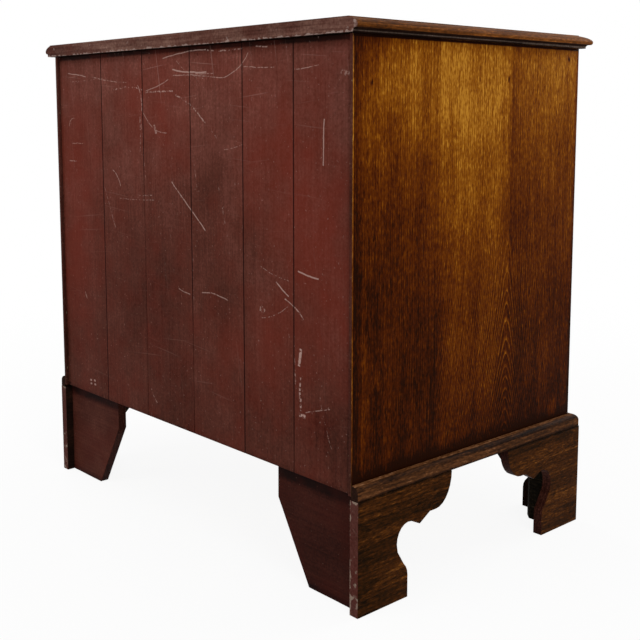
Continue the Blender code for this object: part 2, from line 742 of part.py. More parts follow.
def build_handle_plate(name, x, z, brass):
    """A handle's back plate with its two posts, studs and nuts; the posts are bored for the bail."""
    back_y = FRONT_Y - JOINT_GAP
    plate_y = back_y - PLATE_THICKNESS
    flat = plate_outline(x, z, 0.0)
    face = plate_outline(x, z, PLATE_CHAMFER)
    rings = []
    for y, ring in ((back_y, flat), (plate_y + PLATE_CHAMFER, flat), (plate_y, face)):
        rings.append([(px, y, pz) for px, pz in ring])
    bm = bmesh.new()
    loft(bm, rings)
    plate = place(name, bm, brass)
    shade_round(plate)
    for side, sign in (("a", -1), ("b", 1)):
        post_x = x + sign * POST_SPACING / 2
        bm = bmesh.new()
        turned_post(bm, post_x, z, plate_y)
        post = place(f"{name}_post_{side}", bm, helper=True)
        shade_round(post, POST_SMOOTH_ANGLE)
        boolean(plate, post, "UNION")
        half = NUT_SIDE / 2
        nut_y = FRONT_INNER_Y + JOINT_GAP
        bm = bmesh.new()
        block(bm, (post_x - half, post_x + half), (nut_y, nut_y + NUT_THICKNESS), (z - half, z + half))
        boolean(plate, place(f"{name}_nut_{side}", bm, helper=True), "UNION")
    pivot_y = FRONT_Y - PIVOT_PROJECTION
    bm = bmesh.new()
    for sign in (-1, 1):
        inner = POST_SPACING / 2 - HEAD_RADIUS - CUT_MARGIN
        outer = POST_SPACING / 2 + PIVOT_BORE_END
        span = sorted((x + sign * inner, x + sign * outer))
        prism(bm, circle((pivot_y, z), PIVOT_BORE_RADIUS), "X", *span)
    boolean(plate, place(f"{name}_bores", bm, helper=True), "DIFFERENCE")


def between(a, b, c, d, t):
    """A value part of the way from b to c, on the smooth curve through a, b, c and d."""
    return 0.5 * (2 * b + (c - a) * t + (2 * a - 5 * b + 4 * c - d) * t**2 + (3 * b - a - 3 * c + d) * t**3)


def smooth_route(knots, steps):
    """Points along a smooth curve through the knots; each knot is (x, z, radius share)."""
    padded = [knots[0], *knots, knots[-1]]
    points = []
    for four in zip(padded, padded[1:], padded[2:], padded[3:]):
        for i in range(steps):
            points.append(tuple(between(*values, i / steps) for values in zip(*four)))
    return [*points, knots[-1]]


def bail_half():
    """Half of a swan-neck bail, from its pin to the middle of its grip, seen from the front."""
    arm = POST_SPACING / 2 - BAIL_ARM_INSET
    pin_end = POST_SPACING / 2 + PIVOT_BORE_END - JOINT_GAP * 2
    pin = PIVOT_PIN_RADIUS / BAIL_RADIUS
    belly = POST_SPACING / 2 + BAIL_BELLY
    straight = [(pin_end, 0.0, pin), (POST_SPACING / 2 - HEAD_RADIUS - JOINT_GAP, 0.0, pin)]
    knots = [
        (arm + 0.0012, 0.0, (1 + pin) / 2),
        (arm - 0.0006, -BAIL_DROP * 0.10, 0.95),
        (arm + 0.0010, -BAIL_DROP * 0.27, 0.92),
        ((arm + belly) / 2 + 0.0010, -BAIL_DROP * 0.46, 0.95),
        (belly, -BAIL_DROP * 0.66, 1.0),
        (belly - 0.0060, -BAIL_DROP * 0.90, 1.05),
        (arm * 0.62, -BAIL_DROP * 0.995, 1.12),
        (0.0, -BAIL_DROP, BAIL_SWELL),
    ]
    return straight + smooth_route(knots, BAIL_STEPS)


def build_bail(name, x, z, brass):
    """A swan-neck bail: one bent bar, thicker in the middle, pinned into its posts at its origin."""
    half = bail_half()
    route = [(px, pz, r) for px, pz, r in half] + [(-px, pz, r) for px, pz, r in half[-2::-1]]
    curve = bpy.data.curves.new(name, "CURVE")
    curve.dimensions = "3D"
    curve.bevel_depth = BAIL_RADIUS
    curve.bevel_resolution = BAIL_RESOLUTION
    curve.use_fill_caps = True
    curve.materials.append(brass)
    spline = curve.splines.new("POLY")
    spline.points.add(len(route) - 1)
    for point, (px, pz, radius) in zip(spline.points, route):
        point.co = (px, 0, pz, 1)
        point.radius = radius
    bail = bpy.data.objects.new(name, curve)
    bail.location = (x, FRONT_Y - PIVOT_PROJECTION, z)
    bpy.context.scene.collection.objects.link(bail)


def build_drawers(oak, lining, brass):
    """All drawers from top to bottom, each parented to an empty that slides along -Y."""
    for number, (floor, height) in enumerate(opening_floors(), 1):
        levels = drawer_levels(floor, height)
        build_drawer_front(number, levels, oak)
        build_drawer_sides(number, levels, lining)
        build_drawer_back(number, levels, lining)
        build_drawer_bottom(number, levels, lining)
        middle = sum(levels["front"]) / 2
        for side, sign in (("left", -1), ("right", 1)):
            x = sign * HANDLE_OFFSET
            build_handle_plate(f"drawer_{number}_handle_plate_{side}", x, middle, brass)
            build_bail(f"drawer_{number}_bail_{side}", x, middle, brass)
        pieces = [obj for obj in bpy.data.objects if obj.name.startswith(f"drawer_{number}_")]
        slide = bpy.data.objects.new(f"drawer_{number}_slide", None)
        bpy.context.scene.collection.objects.link(slide)
        for piece in pieces:
            piece.parent = slide


def main():
    for obj in list(bpy.data.objects):
        bpy.data.objects.remove(obj)
    golden_oak = finish("waxed golden oak")
    dark_oak = finish("waxed dark oak")
    painted = finish("red painted pine")
    lining = finish("unpolished lining oak")
    brass = finish("aged brass")
    build_top(golden_oak)
    build_sides(golden_oak)
    build_dustboards(golden_oak)
    build_bottom(lining)
    build_back(painted)
    build_base_moulding(dark_oak)
    build_front_feet(dark_oak)
    build_rear_feet(dark_oak, painted)
    build_drawers(golden_oak, lining, brass)


main()
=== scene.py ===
# %% [markdown]
# # An oak chest of drawers, from bare solids to old furniture
#
# The construction model already has every board at its real size. This lesson gives those boards
# what a century or two of use gives them: grain that runs the right way, arrises that are knocked
# and rubbed, old red paint on the back, and brass handles that have gone dull. Each step first says
# what the thing is on the real chest, and then why it is made in this way in Blender.

# %% Load the construction model
import math

import bmesh
import bpy
import numpy as np
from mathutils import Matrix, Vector, noise


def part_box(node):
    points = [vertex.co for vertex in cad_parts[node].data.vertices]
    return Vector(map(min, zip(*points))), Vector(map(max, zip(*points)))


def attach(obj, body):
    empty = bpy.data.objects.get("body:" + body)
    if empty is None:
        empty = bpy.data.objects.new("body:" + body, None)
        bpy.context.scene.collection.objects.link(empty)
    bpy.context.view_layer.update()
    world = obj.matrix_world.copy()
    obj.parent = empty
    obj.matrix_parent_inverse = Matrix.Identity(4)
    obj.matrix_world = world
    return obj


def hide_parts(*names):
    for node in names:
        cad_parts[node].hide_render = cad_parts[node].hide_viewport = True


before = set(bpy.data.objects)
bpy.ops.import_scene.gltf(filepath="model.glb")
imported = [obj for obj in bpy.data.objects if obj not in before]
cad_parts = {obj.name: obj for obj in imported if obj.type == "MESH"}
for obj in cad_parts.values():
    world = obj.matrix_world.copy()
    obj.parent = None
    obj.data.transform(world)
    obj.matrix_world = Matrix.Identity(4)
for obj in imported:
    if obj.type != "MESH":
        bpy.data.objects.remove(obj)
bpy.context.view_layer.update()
SCENE = bpy.context.scene
SCENE.view_settings.view_transform = "Standard"
MM = 0.001
print("boards, brackets, drawers and handles loaded:", len(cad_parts))

# %% [markdown]
# The places that the finishes need are read from the construction model, so that nothing here holds
# a second copy of a size. The top and one side are enough: the rear plane of the carcase, its front,
# the floor of the case and the underside of the top.

# %% Places on the chest
TOP_LOW, TOP_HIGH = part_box("top")
SIDE_LOW, SIDE_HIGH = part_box("side_left")
FRONT_Y, BACK_Y, BACK_BOARD_Y = SIDE_LOW.y, SIDE_HIGH.y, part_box("back_board_1")[1].y
CASE_LOW, CASE_HIGH = SIDE_LOW.z, TOP_LOW.z
HALF_WIDTH, INNER_HALF = -SIDE_LOW.x, -SIDE_HIGH.x
BASE_HALF = -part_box("foot_front_left_side_bracket")[0].x
CARCASE = "carcase"
DRAWER_FRONTS = [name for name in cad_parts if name.startswith("drawer") and name.endswith("_front")]
DRAWER_NUMBERS = range(1, 1 + len(DRAWER_FRONTS))
HANDLES = [(number, hand) for number in DRAWER_NUMBERS for hand in ("left", "right")]
print("carcase depth", round(BACK_Y - FRONT_Y, 3), "drawers", list(DRAWER_NUMBERS))

# %% [markdown]
# The camera stands behind the chest and to one side, a little under its top, and looks slightly down.
# Old furniture is photographed with its uprights upright, which a lens does by shifting. Only part of
# that shift is used, so that the views from other sides keep the whole chest in their frame.

# %% Camera
CAMERA_PLACE = (-1.3764, 1.2136, 0.6955)
CAMERA_YAW = 47.975
CAMERA_PITCH = 7.016
CAMERA_LENS = 57.88
CAMERA_SHIFT = (0.0103, -0.125)

camera = bpy.data.objects.new("camera", bpy.data.cameras.new("camera"))
SCENE.collection.objects.link(camera)
SCENE.camera = camera
camera.location = CAMERA_PLACE
camera.rotation_euler = (math.radians(90 - CAMERA_PITCH), 0, math.radians(180 + CAMERA_YAW))
camera.data.lens = CAMERA_LENS
camera.data.shift_x, camera.data.shift_y = CAMERA_SHIFT
print("camera", round(Vector(CAMERA_PLACE).length, 2), "m from the middle of the floor")

# %% [markdown]
# A few helpers serve every material. Colours are written as sRGB hex, the way a paint chart or a
# picture editor gives them, and turned to the linear values that Blender calculates with. One
# function adds a node: its kind and mode in one text, such as "Math ADD", its sockets as plain values
# or as the node or output that feeds them, for a colour ramp its evenly spaced stops, and other
# settings by name. Two more begin a node group and a material.

# %% Colour and node helpers
SRGB_KNEE, SRGB_SLOPE, SRGB_OFFSET, SRGB_POWER = 0.04045, 12.92, 0.055, 2.4
MODES = {"MapRange": "interpolation_type", "Mix": "data_type"}


def colour(hex_code):
    """Linear red, green, blue and alpha from an sRGB hex code."""
    linear = []
    for i in (1, 3, 5):
        c = int(hex_code[i : i + 2], 16) / 255
        curved = ((c + SRGB_OFFSET) / (1 + SRGB_OFFSET)) ** SRGB_POWER
        linear.append(c / SRGB_SLOPE if c <= SRGB_KNEE else curved)
    return (*linear, 1.0)


def feed(tree, node, sockets):
    """Fills sockets, named or in order, with values, nodes' first live outputs, or chosen outputs."""
    for key, value in sockets.items() if isinstance(sockets, dict) else enumerate(sockets):
        if isinstance(value, bpy.types.Node):
            value = next(output for output in value.outputs if output.enabled)
        if isinstance(value, bpy.types.NodeSocket):
            tree.links.new(value, node.inputs[key])
        else:
            node.inputs[key].default_value = value


def add(tree, kind, sockets=(), stops=(), **settings):
    """Adds a node: its kind and mode in one text, then its sockets, colour stops and settings."""
    kind, _, mode = kind.partition(" ")
    node = tree.nodes.new(kind if "Node" in kind else "ShaderNode" + kind)
    if mode:
        setattr(node, MODES.get(kind, "operation"), mode)
    for name, value in settings.items():
        setattr(node, name, value)
    feed(tree, node, sockets)
    last = len(stops) - 1
    for i, code in enumerate(stops):
        elements = node.color_ramp.elements
        stop = elements[0] if i == 0 else elements[-1] if i == last else elements.new(i / last)
        stop.color = colour(code)
    return node


def new_group(name, kind, inputs, outputs):
    """A node group with named inputs and outputs of given types, and what its inputs give."""
    group = bpy.data.node_groups.new(name, kind)
    for way, sockets in (("INPUT", inputs), ("OUTPUT", outputs)):
        for key, holds in sockets.items():
            group.interface.new_socket(key, in_out=way, socket_type="NodeSocket" + holds)
    return group, add(group, "NodeGroupInput").outputs


def new_material(name):
    """A material, its node tree, its shader, and the place of each point on the object."""
    material = bpy.data.materials.new(name)
    material.use_nodes = True
    tree = material.node_tree
    return material, tree, tree.nodes["Principled BSDF"], add(tree, "TexCoord").outputs["Object"]


print("mid grey is", round(colour("#808080")[0], 3), "in linear light")

# %% [markdown]
# The floor and the surroundings are a white studio. The camera and mirror-like surfaces see them as
# white through the Light Path node, while everything else is lit by a much dimmer world and by four
# large soft lamps, so that a brown renders about as brown as it is written. Near the chest the floor
# mixes a little of its real, lit surface into the white, which keeps a faint shadow under the feet;
# further out that share fades, so that no horizon shows.

# %% Studio
FLOOR_SIZE = 12.0
FLOOR_LIT_SHARE = 0.09
FLOOR_FADE = (0.8, 2.4)
WORLD_LIGHT = 0.42
LAMPS = {
    "key_lamp": ((-3.2, 1.2, 2.6), 1.8, 62), "rear_lamp": ((0.6, 3.4, 2.2), 2.0, 48),
    "front_lamp": ((-1.0, -3.6, 2.2), 2.0, 62), "right_lamp": ((3.4, -0.4, 2.4), 1.8, 52)
}
LAMP_TARGET = Vector((0, 0, 0.45))


def seen_directly(tree):
    """1 for rays that show the surroundings themselves: from the camera, a mirror or clear glass."""
    path = add(tree, "LightPath").outputs
    camera_or_mirror = add(tree, "Math MAXIMUM", (path["Is Camera Ray"], path["Is Glossy Ray"]))
    return add(tree, "Math MAXIMUM", (camera_or_mirror, path["Is Transmission Ray"]))


def studio_floor():
    """A wide white floor that keeps a soft shadow near the chest."""
    material = bpy.data.materials.new("white studio paper")
    material.use_nodes = True
    tree = material.node_tree
    tree.nodes.clear()
    place = add(tree, "TexCoord").outputs["Object"]
    distance = add(tree, "VectorMath LENGTH", (place,)).outputs["Value"]
    share = add(tree, "MapRange SMOOTHSTEP", (distance, *FLOOR_FADE, FLOOR_LIT_SHARE, 0.0))
    paper = add(tree, "BsdfDiffuse", {"Color": colour("#ececec")})
    glow = add(tree, "Emission", {"Color": colour("#ffffff"), "Strength": 1.0})
    blend = add(tree, "MixShader", (share, glow, paper))
    switch = add(tree, "MixShader", (seen_directly(tree), paper, blend))
    add(tree, "OutputMaterial", {"Surface": switch})
    bpy.ops.mesh.primitive_plane_add(size=FLOOR_SIZE)
    floor = bpy.context.object
    floor.name = "studio_floor"
    floor.data.materials.append(material)


def studio_world():
    """White where it is seen, and a dim even light for everything else."""
    world = SCENE.world = bpy.data.worlds.new("studio")
    world.use_nodes = True
    tree = world.node_tree
    tree.nodes.clear()
    strength = add(tree, "MapRange", (seen_directly(tree), 0.0, 1.0, WORLD_LIGHT))
    background = add(tree, "Background", {"Color": colour("#ffffff"), "Strength": strength})
    add(tree, "OutputWorld", {"Surface": background})


def studio_lamps():
    """Large square lamps, each aimed at the middle of the chest."""
    for name, (place, size, power) in LAMPS.items():
        light = bpy.data.lights.new(name, "AREA")
        light.size, light.energy = size, power
        lamp = bpy.data.objects.new(name, light)
        lamp.location = place
        lamp.rotation_euler = (LAMP_TARGET - lamp.location).to_track_quat("-Z", "Y").to_euler()
        SCENE.collection.objects.link(lamp)


studio_floor()
studio_world()
studio_lamps()
print("lamps:", len(LAMPS))

# %% [markdown]
# Oak is a ring-porous wood. Each year it lays down a band of open pores and then a band of dense
# wood, so a sawn board shows rings cut lengthwise: straight lines where the saw ran towards the
# heart of the tree, and pointed arches where it ran beside it. The material needs to know where in
# the tree each board lay. That is why every board carries an attribute named "board", which holds
# for each corner of each face its distance along the grain, across the board from the heart, and in
# depth from the heart. The rings then come out right on the faces, the edges and the end grain. A
# trunk tapers, so lower down the rings lie further out; "lean" holds that, and makes the arches.

# %% Where each board lay in the tree
AXES = {"X": 0, "Y": 1, "Z": 2}
GRAIN, TONE, LEAN, ARRIS = "board", "tone", "lean", "arris"
HEART_DEPTH = 50 * MM


def glued_boards(low, high, seams, seed, tone=0.1):
    """Boards glued side by side: for each one its upper limit, its heart's place and its tone."""
    random = np.random.default_rng(seed)
    boards = []
    for start, end in zip([low, *seams], [*seams, high]):
        across = (start + end) / 2 + (end - start) * random.uniform(-0.9, 0.9)
        depth = HEART_DEPTH * random.uniform(0.7, 1.6) * random.choice((-1, 1))
        place = {"limit": end, "across": across, "depth": depth, "shift": random.uniform(0, 9)}
        boards.append({**place, "tone": random.uniform(-tone, tone)})
    return boards


def measured(items, name, width=1, kind=float):
    """One property of many mesh items: a row of numbers for each, or one number."""
    found = np.zeros(len(items) * width, kind)
    items.foreach_get(name, found)
    return found.reshape(-1, width) if width > 1 else found


def mark(mesh, name, values, domain="POINT"):
    """Adds an attribute with a number, or three, for each point or face corner."""
    values = np.asarray(values, np.float32)
    kind, field = ("FLOAT_VECTOR", "vector") if values.ndim > 1 else ("FLOAT", "value")
    mesh.attributes.new(name, kind, domain).data.foreach_set(field, values.ravel())


def lay_grain(mesh, along, across, boards):
    """Writes the place in the tree and the tone of each face corner, from the axes of the board."""
    depth = ({"X", "Y", "Z"} - {along, across}).pop()
    points = measured(mesh.vertices, "co", 3)[measured(mesh.loops, "vertex_index", kind=int)]
    corners_each = measured(mesh.polygons, "loop_total", kind=int)
    centres = np.repeat(measured(mesh.polygons, "center", 3), corners_each, axis=0)
    chosen = np.searchsorted([b["limit"] for b in boards[:-1]], centres[:, AXES[across]])
    keys = ("across", "depth", "shift", "tone", "taper", "knee")
    value = {key: np.array([b.get(key, 0.0) for b in boards])[chosen] for key in keys}
    u = points[:, AXES[along]]
    v = points[:, AXES[across]] - value["across"]
    w = points[:, AXES[depth]] - value["depth"]
    mark(mesh, GRAIN, np.stack([u + value["shift"], v, w], 1), "CORNER")
    mark(mesh, TONE, value["tone"], "CORNER")
    mark(mesh, LEAN, -value["taper"] * np.maximum(value["knee"] - u, 0) ** 2, "CORNER")


print("board axes:", *AXES)

# %% [markdown]
# A node group draws the oak's figure from that place in the tree. Slow noise makes the tree a little
# crooked. The distance from the heart, divided by the width of a year's ring, gives the rings. Pores
# are stretched noise, gathered where each ring begins, and fibres and flecks are finer streaks. Real
# rings are 1 to 3 mm wide and pores a third of a millimetre, too fine for the picture, so both are
# drawn two to three times as coarse.

# %% Oak figure as a node group
RING_WIDTH = 4.4 * MM
CROOKED_BY = 5 * MM
CROOKED_RATE = (3.5, 9.0, 9.0)
PORE_RATE = (75.0, 520.0, 520.0)
FIBRE_RATE = (26.0, 300.0, 300.0)
FLECK_RATE = (85.0, 400.0, 400.0)
BAND_RATE = (2.2, 34.0, 34.0)
FIGURES = ("Ring", "Pore", "Fibre", "Fleck", "Band")
MIDDLE_GREY = (0.5, 0.5, 0.5)


def stretched(tree, vector, rate, detail=2.0, roughness=0.5):
    """Noise stretched along the grain: rate is how many features there are in a metre each way."""
    scaled = add(tree, "VectorMath MULTIPLY", (vector, rate))
    return add(tree, "TexNoise", {"Vector": scaled, "Scale": 1.0, "Detail": detail, "Roughness": roughness})


def oak_figure_group():
    """Rings, pores, fibres, flecks and broad bands, each from 0 to 1, from the place in the tree."""
    inputs = {"Board": "Vector", "Lean": "Float"}
    group, given = new_group("oak figure", "ShaderNodeTree", inputs, dict.fromkeys(FIGURES, "Float"))
    board = given["Board"]
    crooked = stretched(group, board, CROOKED_RATE)
    centred = add(group, "VectorMath SUBTRACT", (crooked.outputs["Color"], MIDDLE_GREY))
    bent = add(group, "VectorMath MULTIPLY_ADD", (centred, (0.0, 2 * CROOKED_BY, 2 * CROOKED_BY), board))
    level = add(group, "VectorMath MULTIPLY", (bent, (0.0, 1.0, 1.0)))
    radius = add(group, "VectorMath LENGTH", (level,)).outputs["Value"]
    leaning = add(group, "Math ADD", (radius, given["Lean"]))
    years = add(group, "Math DIVIDE", (leaning, RING_WIDTH))
    season = add(group, "TexNoise", {"W": years, "Scale": 0.35, "Detail": 1.0}, noise_dimensions="1D")
    uneven = add(group, "Math MULTIPLY_ADD", (season, 1.6, years))
    phase = add(group, "Math FRACT", (uneven,))
    ring = add(group, "MapRange SMOOTHSTEP", (phase, 0.0, 0.7, 1.0, 0.0))
    pores = stretched(group, board, PORE_RATE)
    open_pores = add(group, "MapRange SMOOTHSTEP", (pores, 0.52, 0.64))
    crowd = add(group, "MapRange", (ring, 0.0, 1.0, 0.4))
    pore = add(group, "Math MULTIPLY", (open_pores, crowd))
    fibre = stretched(group, bent, FIBRE_RATE, detail=3.0, roughness=0.6)
    flecks = stretched(group, board, FLECK_RATE)
    fleck = add(group, "MapRange SMOOTHSTEP", (flecks, 0.54, 0.68))
    band = stretched(group, bent, BAND_RATE)
    add(group, "NodeGroupOutput", dict(zip(FIGURES, (ring, pore, fibre, fleck, band))))
    return group


OAK_FIGURE = oak_figure_group()
print("oak figure nodes:", len(OAK_FIGURE.nodes))

# %% [markdown]
# A finish is one number, how dark the wood is at a point, run through a ramp of the colours that
# the real board goes through from its lightest to its darkest. That keeps light oak golden and dark
# oak red-brown, as old shellac and wax do. The number is a sum: how high on the chest, which board,
# what the figure does, cloudy stains, soft bands, most of them painted shade, and a few listed stains.
# Each stain is a soft blob: its place in millimetres, its size, and how much darker or lighter it makes the
# wood.

# %% Sums and stains
def weighted_sum(tree, start, terms):
    """start, plus for each term its output less its middle, times its gain."""
    total = start - sum(gain * middle for _, gain, middle in terms)
    for source, gain, _ in terms:
        total = add(tree, "Math MULTIPLY_ADD", (source, gain, total))
    return total


def stains(tree, place, plane, blobs):
    """Soft blobs on one plane, listed as (across, height, radius) in millimetres, and amount."""
    flat = add(tree, "VectorMath MULTIPLY", (place, plane))
    total = 0.0
    for across, height, radius, amount in blobs:
        spot = (across * MM * plane[0], across * MM * plane[1], height * MM * plane[2])
        away = add(tree, "VectorMath DISTANCE", (flat, spot)).outputs["Value"]
        blob = add(tree, "MapRange SMOOTHSTEP", (away, 0.0, radius * MM, amount, 0.0))
        total = add(tree, "Math ADD", (blob, total))
    return total


def shades(tree, parts, limits):
    """Soft borders: axis, plane, where it starts and is full in millimetres from there, and amount."""
    total = 0.0
    for axis, plane, start, full, amount in limits:
        reach = (parts[AXES[axis]], plane + start * MM, plane + full * MM)
        border = add(tree, "MapRange SMOOTHSTEP", (*reach, 0.0, amount))
        total = add(tree, "Math ADD", (border, total))
    return total


def loosened(tree, place, by, scale):
    """A place that slow noise has pushed about, so that what is drawn from it has ragged edges."""
    push = add(tree, "TexNoise", {"Vector": place, "Scale": scale, "Detail": 3.0})
    centred = add(tree, "VectorMath SUBTRACT", (push.outputs["Color"], MIDDLE_GREY))
    return add(tree, "VectorMath MULTIPLY_ADD", (centred, (by, by, by), place)).outputs["Vector"]


print("stains are placed in millimetres on the face they mark")

# %% [markdown]
# Waxed oak is quarter-sawn and flat-sawn boards under old shellac and beeswax. A board is lighter and
# golden in its upper middle and darker low down, partly from dirt and partly as painted shade and sheen,
# and bands of painted shade darken it beside mouldings and under the top. The wax is thin and dull by
# now, so its reflection is weak: the specular level is set low on the shader, and roughness wanders
# between 0.42 and 0.56. Arrises are worn pale, which the "arris" attribute marks face by face.

# %% Waxed oak
OAK_BUMP = 0.30 * MM
SIDE_PLANE = (0.0, 1.0, 0.6)
GRIT_RATE = (150.0, 320.0, 320.0)
PLAIN_SHIFT = (0.0, 0.31, 0.045)


def oak(
    name, stops, worn, dark, blobs=(), borders=(), grain=None, gain=1.0, roughness=0.49, shine=0.02,
    wear=0.9, arches=(), streaks=None
):
    """An oak finish: its colours from light to dark, its bare arris, and how dark it is up and down."""
    material, tree, shader, place = new_material(name)
    parts = add(tree, "SeparateXYZ", (place,)).outputs
    if grain:
        turned = add(tree, "CombineXYZ", [parts[AXES[axis]] for axis in grain])
        board = add(tree, "VectorMath ADD", (turned, PLAIN_SHIFT))
    else:
        board = add(tree, "Attribute", attribute_name=GRAIN).outputs["Vector"]
    tone = add(tree, "Attribute", attribute_name=TONE).outputs["Fac"]
    lean = add(tree, "Attribute", attribute_name=LEAN).outputs["Fac"]
    figure = add(tree, "Group", {"Board": board, "Lean": lean}, node_tree=OAK_FIGURE).outputs
    cloud = add(tree, "TexNoise", {"Vector": place, "Scale": 6.0, "Detail": 6.0, "Roughness": 0.68})
    grit = stretched(tree, board, GRIT_RATE, detail=1.0)
    height = add(tree, "MapRange", (parts["Z"], CASE_HIGH, CASE_LOW, *dark))
    terms = [
        (height, 1.0, 0.0), (tone, 1.0, 0.0),
        (stains(tree, loosened(tree, place, 50 * MM, 9.0), SIDE_PLANE, blobs), 1.0, 0.0),
        (shades(tree, parts, borders), 1.0, 0.0), (cloud, 0.60, 0.5), (grit, 0.46 * gain, 0.5),
        (figure["Band"], 0.46 * gain, 0.5), (figure["Fibre"], 0.42 * gain, 0.5),
        (figure["Pore"], 0.22 * gain, 0.25), (figure["Fleck"], -0.17 * gain, 0.25),
        (figure["Ring"], -0.14 * gain, 0.45)
    ]
    if streaks:
        rate, amount = streaks
        terms.append((stretched(tree, board, rate), amount, 0.5))
    if arches:
        thin = add(tree, "MapRange", (figure["Ring"], 0.6, 0.95))
        clear = stains(tree, place, SIDE_PLANE, arches)
        lines = add(tree, "Math MULTIPLY", (thin, figure["Fibre"]))
        terms.append((add(tree, "Math MULTIPLY", (lines, clear)), -1.0, 0.03))
    darkness = weighted_sum(tree, 0.0, terms)
    wood = add(tree, "ValToRGB", {"Fac": darkness}, stops=stops).outputs["Color"]
    arris = add(tree, "Attribute", attribute_name=ARRIS).outputs["Fac"]
    rub = add(tree, "TexNoise", {"Vector": place, "Scale": 85.0, "Detail": 3.0})
    rubbed = add(tree, "MapRange SMOOTHSTEP", (rub, 0.42, 0.64, 0.0, wear))
    bare = add(tree, "Math MULTIPLY", (rubbed, arris))
    finished = add(tree, "Mix RGBA", {0: bare, 6: wood, 7: colour(worn)})
    dull = add(tree, "MapRange", (cloud, 0.3, 0.7, roughness - 0.07, roughness + 0.07))
    relief = weighted_sum(tree, 0.0, [(figure["Pore"], -0.8, 0.0), (figure["Fibre"], 1.0, 0.0)])
    bump = add(tree, "Bump", {"Height": relief, "Distance": OAK_BUMP, "Strength": 0.6})
    feed(
        tree, shader,
        {"Base Color": finished, "Roughness": dull, "Normal": bump, "Specular IOR Level": shine}
    )
    return material


GOLDEN = ("#b27a24", "#824a08", "#5e2b01", "#401600", "#1c0700")
# The first blob, dark at the rear top corner under the top, is painted shade; the others are stains.
SIDE_BLOBS = (
    (250, 800, 70, 0.36), (170, 480, 170, 0.14), (160, 740, 130, -0.18), (200, 240, 150, -0.12),
    (-95, 560, 60, 0.12), (-100, 700, 60, 0.10), (-190, 720, 120, -0.04), (-180, 240, 110, -0.06),
    (20, 640, 120, -0.12), (10, 400, 160, 0.10), (-30, 215, 60, 0.12), (-205, 205, 22, -0.35),
    (-224, 786, 3.5, 0.8), (-70, 745, 3.5, 0.7), (225, 736, 3.2, 0.6)
)
SIDE_ARCHES = ((-74, 240, 130, 0.40), (-60, 390, 110, 0.34), (-150, 420, 120, 0.28), (60, 320, 130, 0.25))
# Painted shade: the side is darker under the top's overhang, with a near-black line right beneath it,
# darker above the base moulding and towards its rear and front edges. The pale line at the rear arris is
# wear.
SIDE_SHADE_AND_WEAR = (
    ("Z", CASE_HIGH, -26, -6, 0.12), ("Z", CASE_HIGH, -4.5, -2.5, 0.80), ("Z", CASE_LOW, 40, 20, 0.25),
    ("Z", CASE_LOW, 23, 17, 0.40), ("Y", BACK_Y, -22, -3, 0.22), ("Y", BACK_Y, -2.6, -1.6, -0.55),
    ("Y", FRONT_Y, 12, 1, 0.25)
)
# Its height range makes the side much darker towards the foot: partly dirt and age, partly painted shade
# and sheen.
SIDE_OAK = oak(
    "waxed golden oak", GOLDEN, "#8f6c42", (0.14, 0.85), SIDE_BLOBS, SIDE_SHADE_AND_WEAR, arches=SIDE_ARCHES,
    shine=0.015, wear=0.7, streaks=((1.2, 42.0, 42.0), 0.30)
)
FRONT_OAK = oak("waxed figured oak", GOLDEN, "#8c6236", (0.24, 0.50), gain=1.1, shine=0.05)
TOP_COLOURS = ("#9a5e26", "#6e3e14", "#4c2809", "#2e1504", "#140701")
TOP_OAK = oak("rubbed oak top", TOP_COLOURS, "#7e5430", (0.36, 0.5), gain=1.5, wear=0.5)
TOP_END_OAK = oak(
    "rubbed oak end moulding", TOP_COLOURS, "#9a7048", (0.33, 0.5), grain="YXZ", wear=0.8,
    streaks=((6.0, 240.0, 240.0), 0.65)
)
# The border darkens the tops of the brackets, under the moulding, as painted shade.
PLINTH_OAK = oak(
    "dark waxed oak", ("#74461a", "#4e2a0a", "#361a04", "#200f01", "#0c0400"), "#6a5440", (-0.5, 0.56),
    borders=(("Z", CASE_LOW, -9, -6, 0.40),), gain=1.3, wear=0.75, shine=0.015,
    streaks=((5.0, 240.0, 240.0), 0.75)
)
# Painted shade along the foot of the moulding and on its upper part, and a painted highlight along its top
# edge.
MOULDING_SHADE_AND_HIGHLIGHT = (
    ("Z", CASE_LOW, 0, -4, 0.40), ("Z", CASE_LOW, 6, 11, 0.28), ("Z", CASE_LOW, 14.2, 15.2, -0.50)
)
MOULDING_OAK = oak(
    "scuffed oak base moulding", ("#845c3e", "#5a361c", "#3c220f", "#221107", "#0c0502"), "#8c7868",
    (0.42, 0.42), borders=MOULDING_SHADE_AND_HIGHLIGHT, gain=1.1, wear=0.95, streaks=((7.0, 200.0, 200.0), 0.70)
)
BARE_OAK = oak(
    "rubbed bare oak", ("#cfa868", "#a67c44", "#80592a", "#5a3c1c", "#30200f"), "#c0a880", (0.20, 0.66),
    gain=1.6
)
PLINTH_EDGE = oak(
    "stained oak edges", ("#5e372c", "#40221a", "#2a120d", "#180806", "#0a0303"), "#6a4c40", (0.48, 0.48)
)
# Near-black oak for faces where shade falls: under the top's nose and rear edge, and the inner faces and
# rear ends of brackets. It is partly dirt and partly painted shade.
DIRT_AND_SHADE_OAK = oak(
    "oak in dirt and painted shade", ("#382218", "#28160f", "#1a0e09", "#100805", "#080403"), "#22160f", (0.4, 0.4),
    roughness=0.8
)
# The glue blocks and the faces round them, deep inside the feet, are painted near black: dust, and painted
# shade.
GLUE_BLOCKS = oak(
    "pine glue blocks in dust and painted shade", ("#433a2e", "#2e271e", "#1e1913", "#12100c", "#080706"), "#1a1611",
    (0.5, 0.5), roughness=0.85
)
